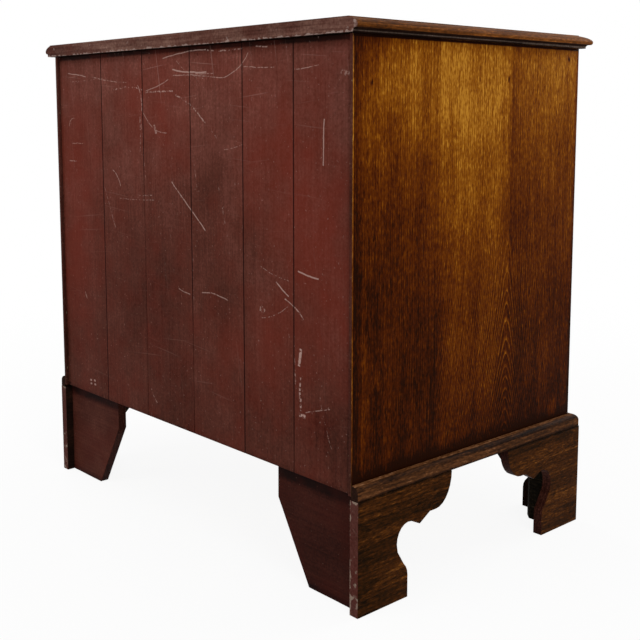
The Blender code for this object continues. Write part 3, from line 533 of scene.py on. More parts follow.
# A pale grey band in the cove under the nose, between bands of painted shade: dust, and a painted highlight
# where the cove catches the light.
COVE_DUST_AND_HIGHLIGHT = oak(
    "oak cove with dust and painted highlight", ("#75645a", "#5a4b42", "#43372f", "#2b231f", "#15100e"), "#302624", (0.4, 0.4),
    roughness=0.7
)
print("oak finishes:", 11)

# %% [markdown]
# Inside, the drawer linings and the dustboards never saw wax. They are the same oak, dry and pale
# brown, with a dusty, matt surface. These boards keep their solids from the construction model, so
# their grain is worked out from plain object coordinates, turned so that the first axis is along it.

# %% Dry oak for the inside
DRY = {
    "stops": ("#b49468", "#9b7a4f", "#7f6039", "#614628", "#402d19"), "worn": "#b89c74",
    "dark": (0.36, 0.42), "gain": 0.6, "roughness": 0.76, "shine": 0.05
}
DRY_LENGTHWISE = oak("dry oak lengthwise", grain="YZX", **DRY)
DRY_CROSSWISE = oak("dry oak crosswise", grain="XZY", **DRY)
DRY_FLAT = oak("dry oak bottom", grain="XYZ", **DRY)
DRY_INSIDE = oak("dry oak carcase lining", **DRY)
DRY_PARTS = {
    "side_left": DRY_LENGTHWISE, "side_right": DRY_LENGTHWISE, "back": DRY_CROSSWISE, "bottom": DRY_FLAT
}
dry_boards = {f"drawer_{n}_{part}": finish for n in DRAWER_NUMBERS for part, finish in DRY_PARTS.items()}
for name, finish in {**dry_boards, "bottom_board": DRY_FLAT}.items():
    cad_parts[name].material_slots[0].material = finish
print("dry finishes:", 4)

# %% [markdown]
# The back is pine under old red-brown paint: oil paint coloured with earth reds, brushed on by hand
# and never renewed. It shows brush streaks up the boards, broad patches that faded or got dirty, and
# scratches from every move of house, in which pale dust and undercoat show. Long single scratches
# are drawn one by one with a small group: how near a point lies to a bowed line from a start to an
# end. Hairlines and specks come from noise.

# %% Scratch group
SCRATCH_EDGE = 0.35


def scratch_group():
    """1 on a bowed line between two points of the back, broken up by grit; places are in metres."""
    inputs = dict.fromkeys(("Place", "Start", "End"), "Vector")
    inputs |= dict.fromkeys(("Bow", "Width", "Grit", "Broken", "Strength"), "Float")
    group, given = new_group("scratch", "ShaderNodeTree", inputs, {"Mask": "Float"})
    away = add(group, "VectorMath SUBTRACT", (given["Place"], given["Start"]))
    line = add(group, "VectorMath SUBTRACT", (given["End"], given["Start"]))
    length = add(group, "VectorMath LENGTH", (line,))
    unit = add(group, "VectorMath NORMALIZE", (line,))
    side = add(group, "VectorMath CROSS_PRODUCT", (unit, (0.0, 1.0, 0.0)))
    run = add(group, "VectorMath DOT_PRODUCT", (away, unit))
    across = add(group, "VectorMath DOT_PRODUCT", (away, side))
    share = add(group, "Math DIVIDE", (run, length))
    rest = add(group, "Math SUBTRACT", (1.0, share))
    hump = add(group, "Math MULTIPLY", (share, rest))
    arch = add(group, "Math MULTIPLY", (hump, 4.0))
    bowed = add(group, "Math MULTIPLY", (arch, given["Bow"]))
    off = add(group, "Math SUBTRACT", (across, bowed))
    gap = add(group, "Math ABSOLUTE", (off,))
    near = add(group, "Math DIVIDE", (gap, given["Width"]))
    drawn = add(group, "MapRange", (near, SCRATCH_EDGE, 1.0, 1.0, 0.0))
    inside = add(group, "Math GREATER_THAN", (hump, 0.0))
    whole = add(group, "Math MULTIPLY", (drawn, inside))
    kept = add(group, "MapRange", (given["Grit"], given["Broken"], 1.0, 0.0, 5.0))
    thinned = add(group, "Math MULTIPLY", (whole, kept), use_clamp=True)
    mask = add(group, "Math MULTIPLY", (thinned, given["Strength"]))
    add(group, "NodeGroupOutput", (mask,))
    return group


SCRATCH = scratch_group()
print("scratch group nodes:", len(SCRATCH.nodes))

# %% [markdown]
# The strokes below are listed one by one, in millimetres across the back and up from the floor: a
# start, an end, how far the line bows, its width, how broken it is and how pale. The dotted ones are
# where something skipped over the paint. A stain is a place, a radius and an amount, in millimetres too. A
# seam is its place and the height below which filler hides it, both in metres.

# %% Strokes, stains and seams of the back
STROKES = (
    (50, 784, -70, 793, -3, 1.0, 0.25, 0.8), (-72, 792, -164, 791, 2, 1.4, 0.50, 0.8),
    (12, 780, -62, 750, 7, 0.8, 0.45, 0.6), (22, 765, -70, 759, 2, 1.3, 0.15, 0.85),
    (-6, 761, -90, 757, 2, 0.8, 0.40, 0.6), (20, 756, -95, 750, -2, 1.0, 0.36, 0.6),
    (-95, 750, -174, 784, 11, 0.9, 0.30, 0.7), (-192, 792, -218, 791, 0, 1.2, 0.30, 0.8),
    (362, 768, 298, 761, -1, 1.0, 0.30, 0.7), (276, 760, 160, 748, 2, 1.0, 0.42, 0.6),
    (350, 754, 240, 757, 1, 0.7, 0.50, 0.5), (208, 735, 106, 733, -6, 1.6, 0.52, 0.8),
    (102, 733, 34, 750, 2, 1.0, 0.34, 0.6), (102, 731, 22, 731, 0, 1.7, 0.44, 0.8),
    (14, 725, -60, 684, -5, 1.7, 0.48, 0.8), (-60, 684, -95, 655, -3, 1.4, 0.55, 0.6),
    (126, 743, 115, 700, -4, 1.3, 0.34, 0.8), (112, 700, 42, 664, 11, 1.0, 0.34, 0.6),
    (121, 705, 121, 632, 0, 1.1, 0.42, 0.7), (-339, 688, -337, 624, 0, 1.3, 0.10, 0.75),
    (364, 672, 344, 686, -5, 1.0, 0.36, 0.6), (352, 640, 314, 641, 0, 0.9, 0.36, 0.5),
    (213, 597, 187, 569, -4, 1.1, 0.28, 0.7), (120, 700, 107, 588, 0, 0.9, 0.50, 0.5),
    (242, 567, 207, 494, 0, 0.9, 0.42, 0.5), (190, 548, 82, 551, 1, 0.9, 0.44, 0.5),
    (150, 556, 88, 559, 1, 1.4, 0.55, 0.6), (30, 584, -62, 512, 0, 1.3, 0.32, 0.8),
    (-30, 640, -44, 560, 0, 1.0, 0.52, 0.5), (-97, 588, -119, 506, 0, 1.2, 0.54, 0.6),
    (-112, 640, -160, 650, 2, 0.8, 0.45, 0.45), (14, 409, -18, 404, 1, 1.1, 0.26, 0.6),
    (-50, 411, -118, 407, -4, 1.1, 0.32, 0.6), (-200, 470, -270, 455, 3, 0.8, 0.46, 0.5),
    (-236, 451, -264, 433, 1, 1.3, 0.24, 0.8), (-284, 472, -328, 466, 1, 1.3, 0.16, 0.8),
    (-255, 428, -296, 404, -3, 1.3, 0.38, 0.8), (-200, 392, -262, 418, 4, 0.8, 0.44, 0.5),
    (-198, 407, -212, 405, 0, 6.0, 0.50, 0.6), (78, 677, 72, 662, 0, 3.0, 0.34, 0.6),
    (-372, 752, -388, 748, 1, 4.0, 0.50, 0.5), (365, 607, 340, 608, 0, 1.2, 0.30, 0.5),
    (-161, 765, -233, 761, 1, 0.9, 0.40, 0.6), (-277, 757, -327, 761, 1, 0.9, 0.38, 0.6),
    (-290, 360, -286, 334, 0, 3.0, 0.28, 1.0), (-276, 380, -279, 300, 1, 1.6, 0.54, 0.6),
    (-289, 318, -290, 268, 1, 2.6, 0.44, 0.9), (-286, 262, -300, 262, 0, 3.4, 0.36, 1.0),
    (-300, 268, -352, 284, 0, 0.9, 0.34, 0.6), (-330, 300, -356, 226, 2, 0.8, 0.52, 0.5),
    (101, 222, 84, 201, 2, 1.2, 0.44, 0.6), (320, 365, 312, 352, 1, 1.6, 0.30, 0.5),
    (-28, 470, -30, 380, 2, 1.0, 0.56, 0.4), (311, 198, 305, 198, 0, 2.2, 0.10, 0.8),
    (297, 199, 291, 199, 0, 2.2, 0.10, 0.8), (310, 191, 304, 191, 0, 2.2, 0.10, 0.7),
    (296, 192, 290, 192, 0, 2.2, 0.10, 0.7)
)
RED_STAINS = (
    (335, 600, 150, 0.60), (330, 420, 120, 0.45), (60, 690, 110, 0.35), (-250, 640, 170, 0.55),
    (-330, 470, 150, 0.55), (-200, 330, 120, 0.35), (150, 720, 90, 0.35)
)
DARK_STAINS = (
    (20, 430, 210, 0.16), (130, 400, 130, 0.12), (-110, 400, 90, 0.18), (-170, 520, 60, 0.12),
    (-60, 560, 80, 0.12), (-360, 250, 90, 0.12), (230, 640, 60, 0.10), (0, 760, 160, -0.12),
    (-150, 740, 120, -0.08), (250, 730, 150, -0.06)
)
SEAMS = ((0.245, 0.0), (0.112, 0.60), (-0.025, 0.39), (-0.159, 0.0), (-0.275, 0.24))
print("strokes:", len(STROKES), "stains:", len(RED_STAINS) + len(DARK_STAINS))

# %% [markdown]
# Two functions turn those rows into masks: one draws the strokes that cross a board, the other the
# dark lines at its edges. A board leaves out the marks that don't reach it, so its tree stays small.

# %% Masks for strokes and seams
SEAM_WIDTH = 1.5 * MM
SEAM_FADE = 0.05
STROKE_MARGIN = 10


def crosses(reach, low, high):
    """True if a mark from low to high, in millimetres, shows between the two limits in metres."""
    return high * MM > reach[0] and low * MM < reach[1]


def stroke_marks(tree, place, reach):
    """The hand-placed strokes that cross one board, as one mask from 0 to 1."""
    grit = add(tree, "TexNoise", {"Vector": place, "Scale": 260.0, "Detail": 2.0})
    shaken = loosened(tree, place, 4 * MM, 38.0)
    flat = add(tree, "VectorMath MULTIPLY", (shaken, (1.0, 0.0, 1.0)))
    marks = 0.0
    for x0, z0, x1, z1, bow, width, broken, strength in STROKES:
        if crosses(reach, min(x0, x1) - STROKE_MARGIN, max(x0, x1) + STROKE_MARGIN):
            ends = (x0 * MM, 0.0, z0 * MM), (x1 * MM, 0.0, z1 * MM)
            sockets = (flat, *ends, bow * MM, width * MM, grit, broken, strength)
            stroke = add(tree, "Group", sockets, node_tree=SCRATCH)
            marks = add(tree, "Math MAXIMUM", (stroke, marks))
    return marks


def seam_lines(tree, across, height, reach):
    """The dark lines at a board's edges, from 0 to 1; filled seams fade out below a height."""
    lines = 0.0
    for place, fade in SEAMS:
        if crosses(reach, place / MM - STROKE_MARGIN, place / MM + STROKE_MARGIN):
            away = add(tree, "Math COMPARE", (across, place, SEAM_WIDTH))
            open_share = add(tree, "MapRange", (height, fade - SEAM_FADE, fade + SEAM_FADE, 0.25))
            line = add(tree, "Math MULTIPLY", (away, open_share))
            lines = add(tree, "Math MAXIMUM", (line, lines))
    return lines


print("strokes and seams are masks from 0 to 1")

# %% [markdown]
# The paint is the same kind of sum as the oak: height, board, brush marks, clouds and stains set how
# dark it is, and a second sum how red. Old oil paint is dull, so it has a low specular level and a
# roughness near 0.6; brush marks and scratches also go into a shallow bump.

# %% Old red paint
PAINT_BUMP = 0.22 * MM
BRUSH_RATE = (9.0, 300.0, 300.0)
PATCH_RATE = (6.0, 11.0, 11.0)
HAIR_RATE = (6.0, 1.0, 380.0)
HAIR_TURNS = (0.08, -0.10, 1.40)
HAIR_HEIGHTS = (0.66, 0.75)
BACK_PLANE = (1.0, 0.0, 0.8)
STAIN_MARGIN = 45
MARK_SHARE = 0.75
SEAM_DIRT = "#1c0c0a"


def paint(
    name, stops, red="#6a2418", bare="#a98a80", dark=(0.30, 0.62), borders=(), reach=None, wear=0.7,
    chips=(), streaks=0.45
):
    """Old oil paint: its colours, its red, what shows where it is gone, and one back board's limits."""
    material, tree, shader, place = new_material(name)
    parts = add(tree, "SeparateXYZ", (place,)).outputs
    board = add(tree, "Attribute", attribute_name=GRAIN).outputs["Vector"]
    tone = add(tree, "Attribute", attribute_name=TONE).outputs["Fac"]
    brush = stretched(tree, board, BRUSH_RATE, detail=3.0, roughness=0.6)
    patch = stretched(tree, board, PATCH_RATE, detail=3.0)
    cloud = add(tree, "TexNoise", {"Vector": place, "Scale": 9.0, "Detail": 6.0, "Roughness": 0.7})
    grit = add(tree, "TexNoise", {"Vector": place, "Scale": 280.0, "Detail": 1.0})
    blotch = add(tree, "TexNoise", {"Vector": place, "Scale": 26.0, "Detail": 3.0})
    height = add(tree, "MapRange", (parts["Z"], CASE_HIGH, CASE_LOW, *dark))
    terms = [
        (height, 1.0, 0.0), (tone, 1.0, 0.0), (shades(tree, parts, borders), 1.0, 0.0), (cloud, 0.75, 0.5),
        (brush, streaks, 0.5), (grit, 0.45, 0.5), (blotch, 0.30, 0.5)
    ]
    redness = [(patch, 1.0, 0.5), (cloud, 0.5, 0.5), (blotch, 0.9, 0.5)]
    if reach:
        loose = loosened(tree, place, 90 * MM, 7.0)
        for marks, total in ((DARK_STAINS, terms), (RED_STAINS, redness)):
            near = [
                m for m in marks if crosses(reach, m[0] - m[2] - STAIN_MARGIN, m[0] + m[2] + STAIN_MARGIN)
            ]
            total.append((stains(tree, loose, BACK_PLANE, near), 1.0, 0.0))
    colours = add(tree, "ValToRGB", {"Fac": weighted_sum(tree, 0.0, terms)}, stops=stops).outputs["Color"]
    red_share = add(tree, "MapRange", (weighted_sum(tree, 0.0, redness), -0.1, 0.7, 0.0, 0.5))
    painted = add(tree, "Mix RGBA", {0: red_share, 6: colours, 7: colour(red)})
    arris = add(tree, "Attribute", attribute_name=ARRIS).outputs["Fac"]
    rub = add(tree, "TexNoise", {"Vector": place, "Scale": 95.0, "Detail": 4.0})
    rubbed = add(tree, "MapRange", (rub, 0.50, 0.62, 0.0, wear))
    gone = add(tree, "Math MULTIPLY", (rubbed, arris))
    speck_noise = add(tree, "TexNoise", {"Vector": place, "Scale": 240.0, "Detail": 1.0})
    losses = [add(tree, "MapRange", (speck_noise, 0.70, 0.79, 0.0, 0.32))]
    if chips:
        ragged = add(tree, "SeparateXYZ", (loosened(tree, place, 8 * MM, 70.0),)).outputs
        loss = weighted_sum(tree, 0.0, [(rub, 1.0, 0.0), (shades(tree, ragged, chips), 1.0, 0.0)])
        losses.append(add(tree, "MapRange", (loss, 0.66, 0.74, 0.0, 0.9)))
    if reach:
        scuffed = add(tree, "MapRange", (parts["Z"], *HAIR_HEIGHTS, 0.10, 0.34))
        for turn in HAIR_TURNS:
            turned = add(tree, "VectorRotate", {"Vector": place, "Angle": turn}, rotation_type="Y_AXIS")
            hair = stretched(tree, turned, HAIR_RATE, detail=1.0)
            losses.append(add(tree, "MapRange", (hair, 0.72, 0.82, 0.0, scuffed)))
        losses.append(stroke_marks(tree, place, reach))
    for loss in losses:
        gone = add(tree, "Math MAXIMUM", (gone, loss))
    bare_share = add(tree, "Math MULTIPLY", (gone, MARK_SHARE))
    finished = add(tree, "Mix RGBA", {0: bare_share, 6: painted, 7: colour(bare)})
    if reach:
        seams = seam_lines(tree, parts["X"], parts["Z"], reach)
        seam_share = add(tree, "Math MULTIPLY", (seams, MARK_SHARE))
        finished = add(tree, "Mix RGBA", {0: seam_share, 6: finished, 7: colour(SEAM_DIRT)})
    relief = weighted_sum(tree, 0.0, [(gone, -1.0, 0.0), (brush, 1.0, 0.0)])
    bump = add(tree, "Bump", {"Height": relief, "Distance": PAINT_BUMP, "Strength": 0.5})
    dull = add(tree, "MapRange", (cloud, 0.0, 1.0, 0.52, 0.68))
    feed(
        tree, shader,
        {"Base Color": finished, "Roughness": dull, "Normal": bump, "Specular IOR Level": 0.02}
    )
    return material


print("paint bump:", PAINT_BUMP / MM, "mm")

# %% [markdown]
# Each painted part has gone its own way. The rear edge of the top has lost much of its paint to hands
# and walls, the ends of the feet to mops and shoes, and the lips beside the back are only rubbed.

# %% Painted finishes
BACK_COLOURS = ("#78463c", "#60352c", "#4e281f", "#3e1e16", "#1c0b07")
# Painted shade: the back is darker under the top's overhang, at its foot, and at both ends beside the
# sides.
BACK_PAINTED_SHADE = (
    ("Z", CASE_HIGH, -22, -6, 0.25), ("Z", CASE_HIGH, -10, -4, 0.70), ("Z", CASE_LOW, 10, 0, 0.15),
    ("X", HALF_WIDTH, -20, -6, 0.25), ("X", -HALF_WIDTH, 20, 6, 0.25)
)
LIP_PAINT = paint(
    "rubbed red paint", ("#70463c", "#58352c", "#44241d", "#301710", "#180906"), "#5a2018", "#a89070",
    (0.34, 0.6), wear=1.0
)
TOP_EDGE_CHIPS = (("Z", CASE_HIGH, 4, 0, 0.25), ("X", -HALF_WIDTH, 4, -14, 0.17))
TOP_EDGE_PAINT = paint(
    "chipped paint of the top's edge", ("#826458", "#66483e", "#4c3028", "#301a14", "#140906"), "#5c261c",
    "#958078", (0.36, 0.6), (("X", 0, 260, 420, 0.18),), chips=TOP_EDGE_CHIPS, streaks=0.9, wear=1.0
)
BRACKET_END_CHIPS = (
    ("Z", CASE_LOW, -16, -5, 0.26), ("Z", 0, 110, 40, 0.12), ("X", -BASE_HALF, 13, 16, 0.16),
    ("X", 0, -1, 1, -0.16)
)
BRACKET_END_PAINT = paint(
    "chipped paint of the feet", ("#6a4238", "#52302a", "#40221c", "#2c1410", "#140706"), "#541c16",
    "#8c7a6c", (-0.2, 0.40), chips=BRACKET_END_CHIPS, wear=1.0
)
# The rear brackets darken towards their tops as painted shadow under the back boards, and towards the
# floor.
FOOT_PAINT = paint(
    "red paint with dirt and painted shadow", ("#643a30", "#4c281f", "#3a1b14", "#2a110c", "#150705"), "#521e15", "#8a6c60",
    (-0.2, 0.36), (("Z", CASE_LOW, -26, -8, 0.7), ("Z", 0, 14, 2, 0.3)), wear=0.8
)
print("chipped paint nodes:", len(TOP_EDGE_PAINT.node_tree.nodes))

# %% [markdown]
# A new board is sharp; an old one isn't. Each visible board is copied from the construction model,
# its split corners are welded, it is cut across the grain every few millimetres, and its sharp
# arrises are rounded. The cuts let the middle line of each rounded arris wander in by a few tenths
# of a millimetre, with an occasional deeper knock, so that no edge catches the light as one straight
# line. The copy then stands for its solid and moves with the same body.

# %% Worn boards
WELD = 0.02 * MM
FLAT_ANGLE = 0.5
SHARP_ANGLE = 40
SMOOTH_ANGLE = 35
KNOCK_RATE = 45.0


def welded_copy(node):
    """The solid's faces with its split corners merged and its flat triangles joined."""
    bm = bmesh.new()
    bm.from_mesh(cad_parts[node].data)
    bmesh.ops.remove_doubles(bm, verts=bm.verts, dist=WELD)
    bmesh.ops.dissolve_limit(bm, angle_limit=math.radians(FLAT_ANGLE), verts=bm.verts, edges=bm.edges)
    return bm


def cut_across(bm, axis, places):
    """Cuts the whole board at each place along an axis."""
    normal = [float(i == AXES[axis]) for i in range(3)]
    for place in places:
        point = [place * n for n in normal]
        everything = bm.verts[:] + bm.edges[:] + bm.faces[:]
        bmesh.ops.bisect_plane(bm, geom=everything, plane_co=point, plane_no=normal, dist=WELD)


def round_arrises(bm, width, wear, rougher):
    """Rounds every sharp edge in two steps and lets the middle line wander; returns the new faces."""
    least = math.radians(SHARP_ANGLE)
    sharp = [e for e in bm.edges if len(e.link_faces) == 2 and e.calc_face_angle(0) > least]
    made = bmesh.ops.bevel(
        bm, geom=sharp, offset=width, segments=2, profile=0.5, affect="EDGES", clamp_overlap=True
    )
    arris = set(made["faces"])
    bm.normal_update()
    for vert in {v for face in arris for v in face.verts}:
        if all(face in arris for face in vert.link_faces):
            dent = max(0.0, noise.noise(vert.co * KNOCK_RATE) + 0.1)
            knock = max(0.0, noise.noise(vert.co * KNOCK_RATE * 2.3 + Vector((7, 3, 1))) - 0.45)
            vert.co -= vert.normal * wear * rougher(vert.co) * (0.7 * dent + 3.0 * knock)
    return arris


def smoothed(mesh, angle):
    """Shades a mesh smooth, but for edges sharper than an angle in degrees."""
    mesh.shade_smooth()
    mesh.set_sharp_from_angle(angle=math.radians(angle))


def new_mesh(bm, name, material, angle=SMOOTH_ANGLE):
    """Turns what was built into a mesh with one finish."""
    mesh = bpy.data.meshes.new(name)
    bm.to_mesh(mesh)
    bm.free()
    mesh.materials.append(material)
    smoothed(mesh, angle)
    return mesh


def finished_piece(mesh, body, stands_for=()):
    """Puts a finished mesh on its body, in place of the solids that it stands for."""
    piece = bpy.data.objects.new(mesh.name, mesh)
    SCENE.collection.objects.link(piece)
    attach(piece, body)
    if stands_for:
        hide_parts(*stands_for)
    return piece


def worn_board(
    node, axes, boards, material, wear, width=1.0, pitch=8, rougher=lambda place: 1.0, body=CARCASE
):
    """Replaces a solid by its worn copy; axes are along and across the grain, lengths in millimetres."""
    along, across = axes
    low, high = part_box(node)
    start, end = low[AXES[along]], high[AXES[along]]
    bm = welded_copy(node)
    count = max(1, round((end - start) / (pitch * MM)))
    cut_across(bm, along, [start + (end - start) * i / count for i in range(1, count)])
    cut_across(bm, across, [b["limit"] for b in boards[:-1]])
    arris = round_arrises(bm, width * MM, wear * MM, rougher)
    for vert in bm.verts:
        vert.co = Vector(map(min, map(max, vert.co, low), high))
    marked = bm.faces.layers.float.new(ARRIS)
    for face in bm.faces:
        face[marked] = float(face in arris)
        face.material_index = 0
    mesh = new_mesh(bm, node + "_board", material)
    lay_grain(mesh, along, across, boards)
    piece = finished_piece(mesh, body, [node])
    piece.modifiers.new("flat faces stay flat", "WEIGHTED_NORMAL").keep_sharp = True
    return piece


def finish_faces(piece, *rows):
    """Each row gives another finish to the faces for which its test of centre c and normal n is true."""
    for material, chosen in rows:
        index = len(piece.data.materials)
        piece.data.materials.append(material)
        for face in piece.data.polygons:
            if chosen(face.center, face.normal):
                face.material_index = index


print("arrises sharper than", SHARP_ANGLE, "degrees are rounded")

# %% [markdown]
# The sides are each glued up from three boards. The rear board is straight-grained. The other two
# were cut from beside the heart, so arches rise from the foot of the seam between them. The rear
# edge of each side, and the rebate that holds the back boards, were painted together with the back,
# and the inner face never had a finish.

# %% Sides
SIDE_SEAMS = (-0.076, 0.090)
SIDE_HEART = {"across": -0.074, "shift": 2.0, "taper": 0.36, "knee": 0.60}
SIDE_BOARDS = [
    {"limit": SIDE_SEAMS[0], "depth": 0.012, "tone": 0.12, **SIDE_HEART},
    {"limit": SIDE_SEAMS[1], "depth": 0.012, "tone": 0.0, **SIDE_HEART},
    {"limit": BACK_Y, "across": 0.42, "depth": 0.030, "shift": 5.0, "tone": 0.15}
]
NEAR = 2 * MM
OUTER_FACE = HALF_WIDTH - 0.7 * MM
REAR_EDGE, LIP_START = BACK_Y - 1.3 * MM, BACK_BOARD_Y - 8 * MM
for hand, sign in (("left", -1), ("right", 1)):
    boards = [dict(b, depth=sign * (HALF_WIDTH + b["depth"])) for b in SIDE_BOARDS]
    side = worn_board(f"side_{hand}", "ZY", boards, SIDE_OAK, width=1.1, wear=0.7)
    finish_faces(
        side, (DRY_INSIDE, lambda c, n: abs(c.x) < HALF_WIDTH - NEAR and c.y > FRONT_Y + NEAR),
        (BARE_OAK, lambda c, n: c.y > REAR_EDGE and abs(c.x) > OUTER_FACE),
        (LIP_PAINT, lambda c, n: c.y > LIP_START and abs(c.x) < OUTER_FACE)
    )
    print(side.name, "faces", len(side.data.polygons))

# %% [markdown]
# The six back boards stand upright in rebates. Each was brushed on its own and has its own tone.

# %% Back boards
BACK_TONES = (0.02, 0.02, -0.03, 0.03, -0.02, 0.03)
for number, tone in enumerate(BACK_TONES, 1):
    node = f"back_board_{number}"
    low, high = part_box(node)
    boards = glued_boards(low.x, high.x, [], seed=20 + number)
    boards[0]["tone"] = tone
    reach = (low.x, high.x)
    finish = paint(f"old red oil paint, board {number}", BACK_COLOURS, borders=BACK_PAINTED_SHADE, reach=reach)
    board = worn_board(node, "ZX", boards, finish, width=0.7, wear=0.4)
    finish_faces(board, (DRY_INSIDE, lambda c, n: n.y < -0.5))
print("back boards:", len(BACK_TONES))

# %% [markdown]
# The top is glued up from three boards that run the length of the chest. Its moulded edge keeps the
# profile of its solid. Its plain rear edge is painted like the back and badly rubbed along its lower
# arris, where hands lift the chest.

# %% Top
TOP_SEAMS = (-0.085, 0.095)
REAR_ROUGHNESS = 3.0
FACING = 0.9
NOSE_FOOT = TOP_LOW.z + 6.1 * MM
COVE = (TOP_LOW.z + 1.0 * MM, TOP_LOW.z + 3.0 * MM)


def rear_lower_arris(place):
    """The lower rear arris of the top is much rougher than the others."""
    return REAR_ROUGHNESS if place.y > TOP_HIGH.y - 3 * MM and place.z < TOP_LOW.z + 3 * MM else 1.0


top_boards = glued_boards(TOP_LOW.y, TOP_HIGH.y, TOP_SEAMS, seed=4, tone=0.08)
top = worn_board(
    "top", "XY", top_boards, TOP_OAK, width=1.3, wear=0.9, rougher=rear_lower_arris
)
# The faces under the nose and the underside of the top's rear board are painted near black as shade, with
# dirt; the cove's pale band is dust and a painted highlight.
finish_faces(
    top, (DRY_INSIDE, lambda c, n: n.z < -FACING and abs(c.x) < INNER_HALF),
    (TOP_END_OAK, lambda c, n: abs(c.x) > HALF_WIDTH and abs(n.y) < abs(n.x) > 0.15),
    (DIRT_AND_SHADE_OAK, lambda c, n: c.z < NOSE_FOOT and (abs(c.x) > HALF_WIDTH or c.y < FRONT_Y)),
    (COVE_DUST_AND_HIGHLIGHT, lambda c, n: COVE[0] < c.z < COVE[1] and n.y < 0.5),
    (DIRT_AND_SHADE_OAK, lambda c, n: n.z < -FACING and c.y > TOP_SEAMS[-1]),
    (TOP_EDGE_PAINT, lambda c, n: c.y > TOP_HIGH.y - NEAR)
)
print("top faces", len(top.data.polygons))

# %% [markdown]
# The base moulding and the brackets are darker: they are kicked, mopped round and waxed with
# everything else, and their end grain drinks the dirt. Bands of painted shade darken them under the
# moulding and under the back boards. Their grain runs along the moulding and along each bracket.
# Behind each foot are the pine blocks that glue it to the case; they and the inner faces of the
# brackets are dusty, and painted near black as shade. The rear brackets that face the wall are plain
# painted pine.

# %% Base moulding and bracket feet
BRACKET_THICKNESS = 16 * MM
INNER_BASE = BASE_HALF - BRACKET_THICKNESS
INNER_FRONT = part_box("foot_front_left_front_bracket")[0].y + BRACKET_THICKNESS
INNER_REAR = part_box("foot_rear_left_back_bracket")[1].y - BRACKET_THICKNESS
TOUCH = 0.2 * MM
SCROLL_TOP = CASE_LOW - 8 * MM
REAR_END = BACK_Y - 1.5 * MM


def behind_brackets(c):
    """True inside the rectangle of the brackets, where the glue blocks are."""
    return abs(c.x) < INNER_BASE - TOUCH and INNER_FRONT + TOUCH < c.y < INNER_REAR - TOUCH


def inner_face(c, n):
    """True for the inner face of a bracket, painted near black: dirt, and painted shade."""
    beside = abs(c.x) < INNER_BASE + 1 * MM and abs(n.x) > FACING and c.x * n.x < 0
    return beside or (c.y < INNER_FRONT + 1 * MM and n.y > FACING)


def cut_edge(axis):
    """A test for the sawn edge of a bracket whose outer face looks along the given axis."""
    return lambda c, n: abs(n[AXES[axis]]) < 0.5 and c.z < SCROLL_TOP


PLINTH_PIECES = {
    "base_moulding_front": "X", "base_moulding_left": "Y", "base_moulding_right": "Y",
    "foot_front_left_side_bracket": "Y", "foot_front_right_side_bracket": "Y",
    "foot_front_left_front_bracket": "X", "foot_front_right_front_bracket": "X",
    "foot_rear_left_side_bracket": "Y", "foot_rear_right_side_bracket": "Y"
}
for seed, (node, along) in enumerate(PLINTH_PIECES.items(), 60):
    low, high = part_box(node)
    boards = glued_boards(low.z, high.z, [], seed=seed, tone=0.08)
    finish = PLINTH_OAK if "foot" in node else MOULDING_OAK
    piece = worn_board(node, along + "Z", boards, finish, width=0.9, wear=0.8, pitch=6)
    if "foot" in node:
        # Inner faces and glue blocks are painted near black: dirt, and painted shade.
        finish_faces(
            piece, (PLINTH_EDGE, cut_edge("Y" if along == "X" else "X")), (DIRT_AND_SHADE_OAK, inner_face),
            (GLUE_BLOCKS, lambda c, n: behind_brackets(c))
        )
    if along == "Y":
        # The rear ends of the front feet's side brackets, under the case, are painted near black as shade.
        rear_finish = BRACKET_END_PAINT if "rear" in node else DIRT_AND_SHADE_OAK
        finish_faces(piece, (rear_finish, lambda c, n: n.y > 0.5 and c.y > REAR_END))
for hand, tone in (("left", 0.35), ("right", 0.05)):
    node = f"foot_rear_{hand}_back_bracket"
    low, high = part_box(node)
    boards = glued_boards(low.z, high.z, [], seed=80, tone=0.0)
    boards[0]["tone"] = tone
    piece = worn_board(node, "XZ", boards, FOOT_PAINT, wear=0.8)
    # The inner face of each rear bracket is painted near black: dust, and painted shade.
    dusty = (GLUE_BLOCKS, lambda c, n: behind_brackets(c) or n.y < -FACING)
    finish_faces(piece, (PLINTH_EDGE, cut_edge("Y")), dusty)
print("plinth pieces:", len(PLINTH_PIECES) + 2)

# %% [markdown]
# The rails that show between the drawers are the front edges of the dustboards, so they get the
# waxed oak of the front; the board behind each rail stays dry.

# %% Rails and dustboards
RAIL_DEPTH = 60 * MM
WAXED_DEPTH = 3 * MM
for number in DRAWER_NUMBERS[:-1]:
    node = f"dustboard_{number}"
    low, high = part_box(node)
    boards = glued_boards(low.y, high.y, [FRONT_Y + RAIL_DEPTH], seed=90 + number)
    rail = worn_board(node, "XY", boards, DRY_INSIDE, width=0.5, wear=0.3, pitch=25)
    finish_faces(rail, (FRONT_OAK, lambda c, n: c.y < FRONT_Y + WAXED_DEPTH))
print("rails:", len(DRAWER_NUMBERS) - 1)

# %% [markdown]
# Each drawer front is one wide oak board with a cock bead: a thin half-round strip let into its
# edges, which keeps the front's own edges from chipping. The front's copy is planed flat, and the
# bead is lofted round it, ring by ring, with mitred corners.

# %% Drawer fronts and cock beads
BEAD_WIDTH = 3.4 * MM
BEAD_STEPS = 8
BEAD_SINK = 1.0 * MM
BEAD_SMOOTH_ANGLE = 60
LAP_DEPTH = 6 * MM


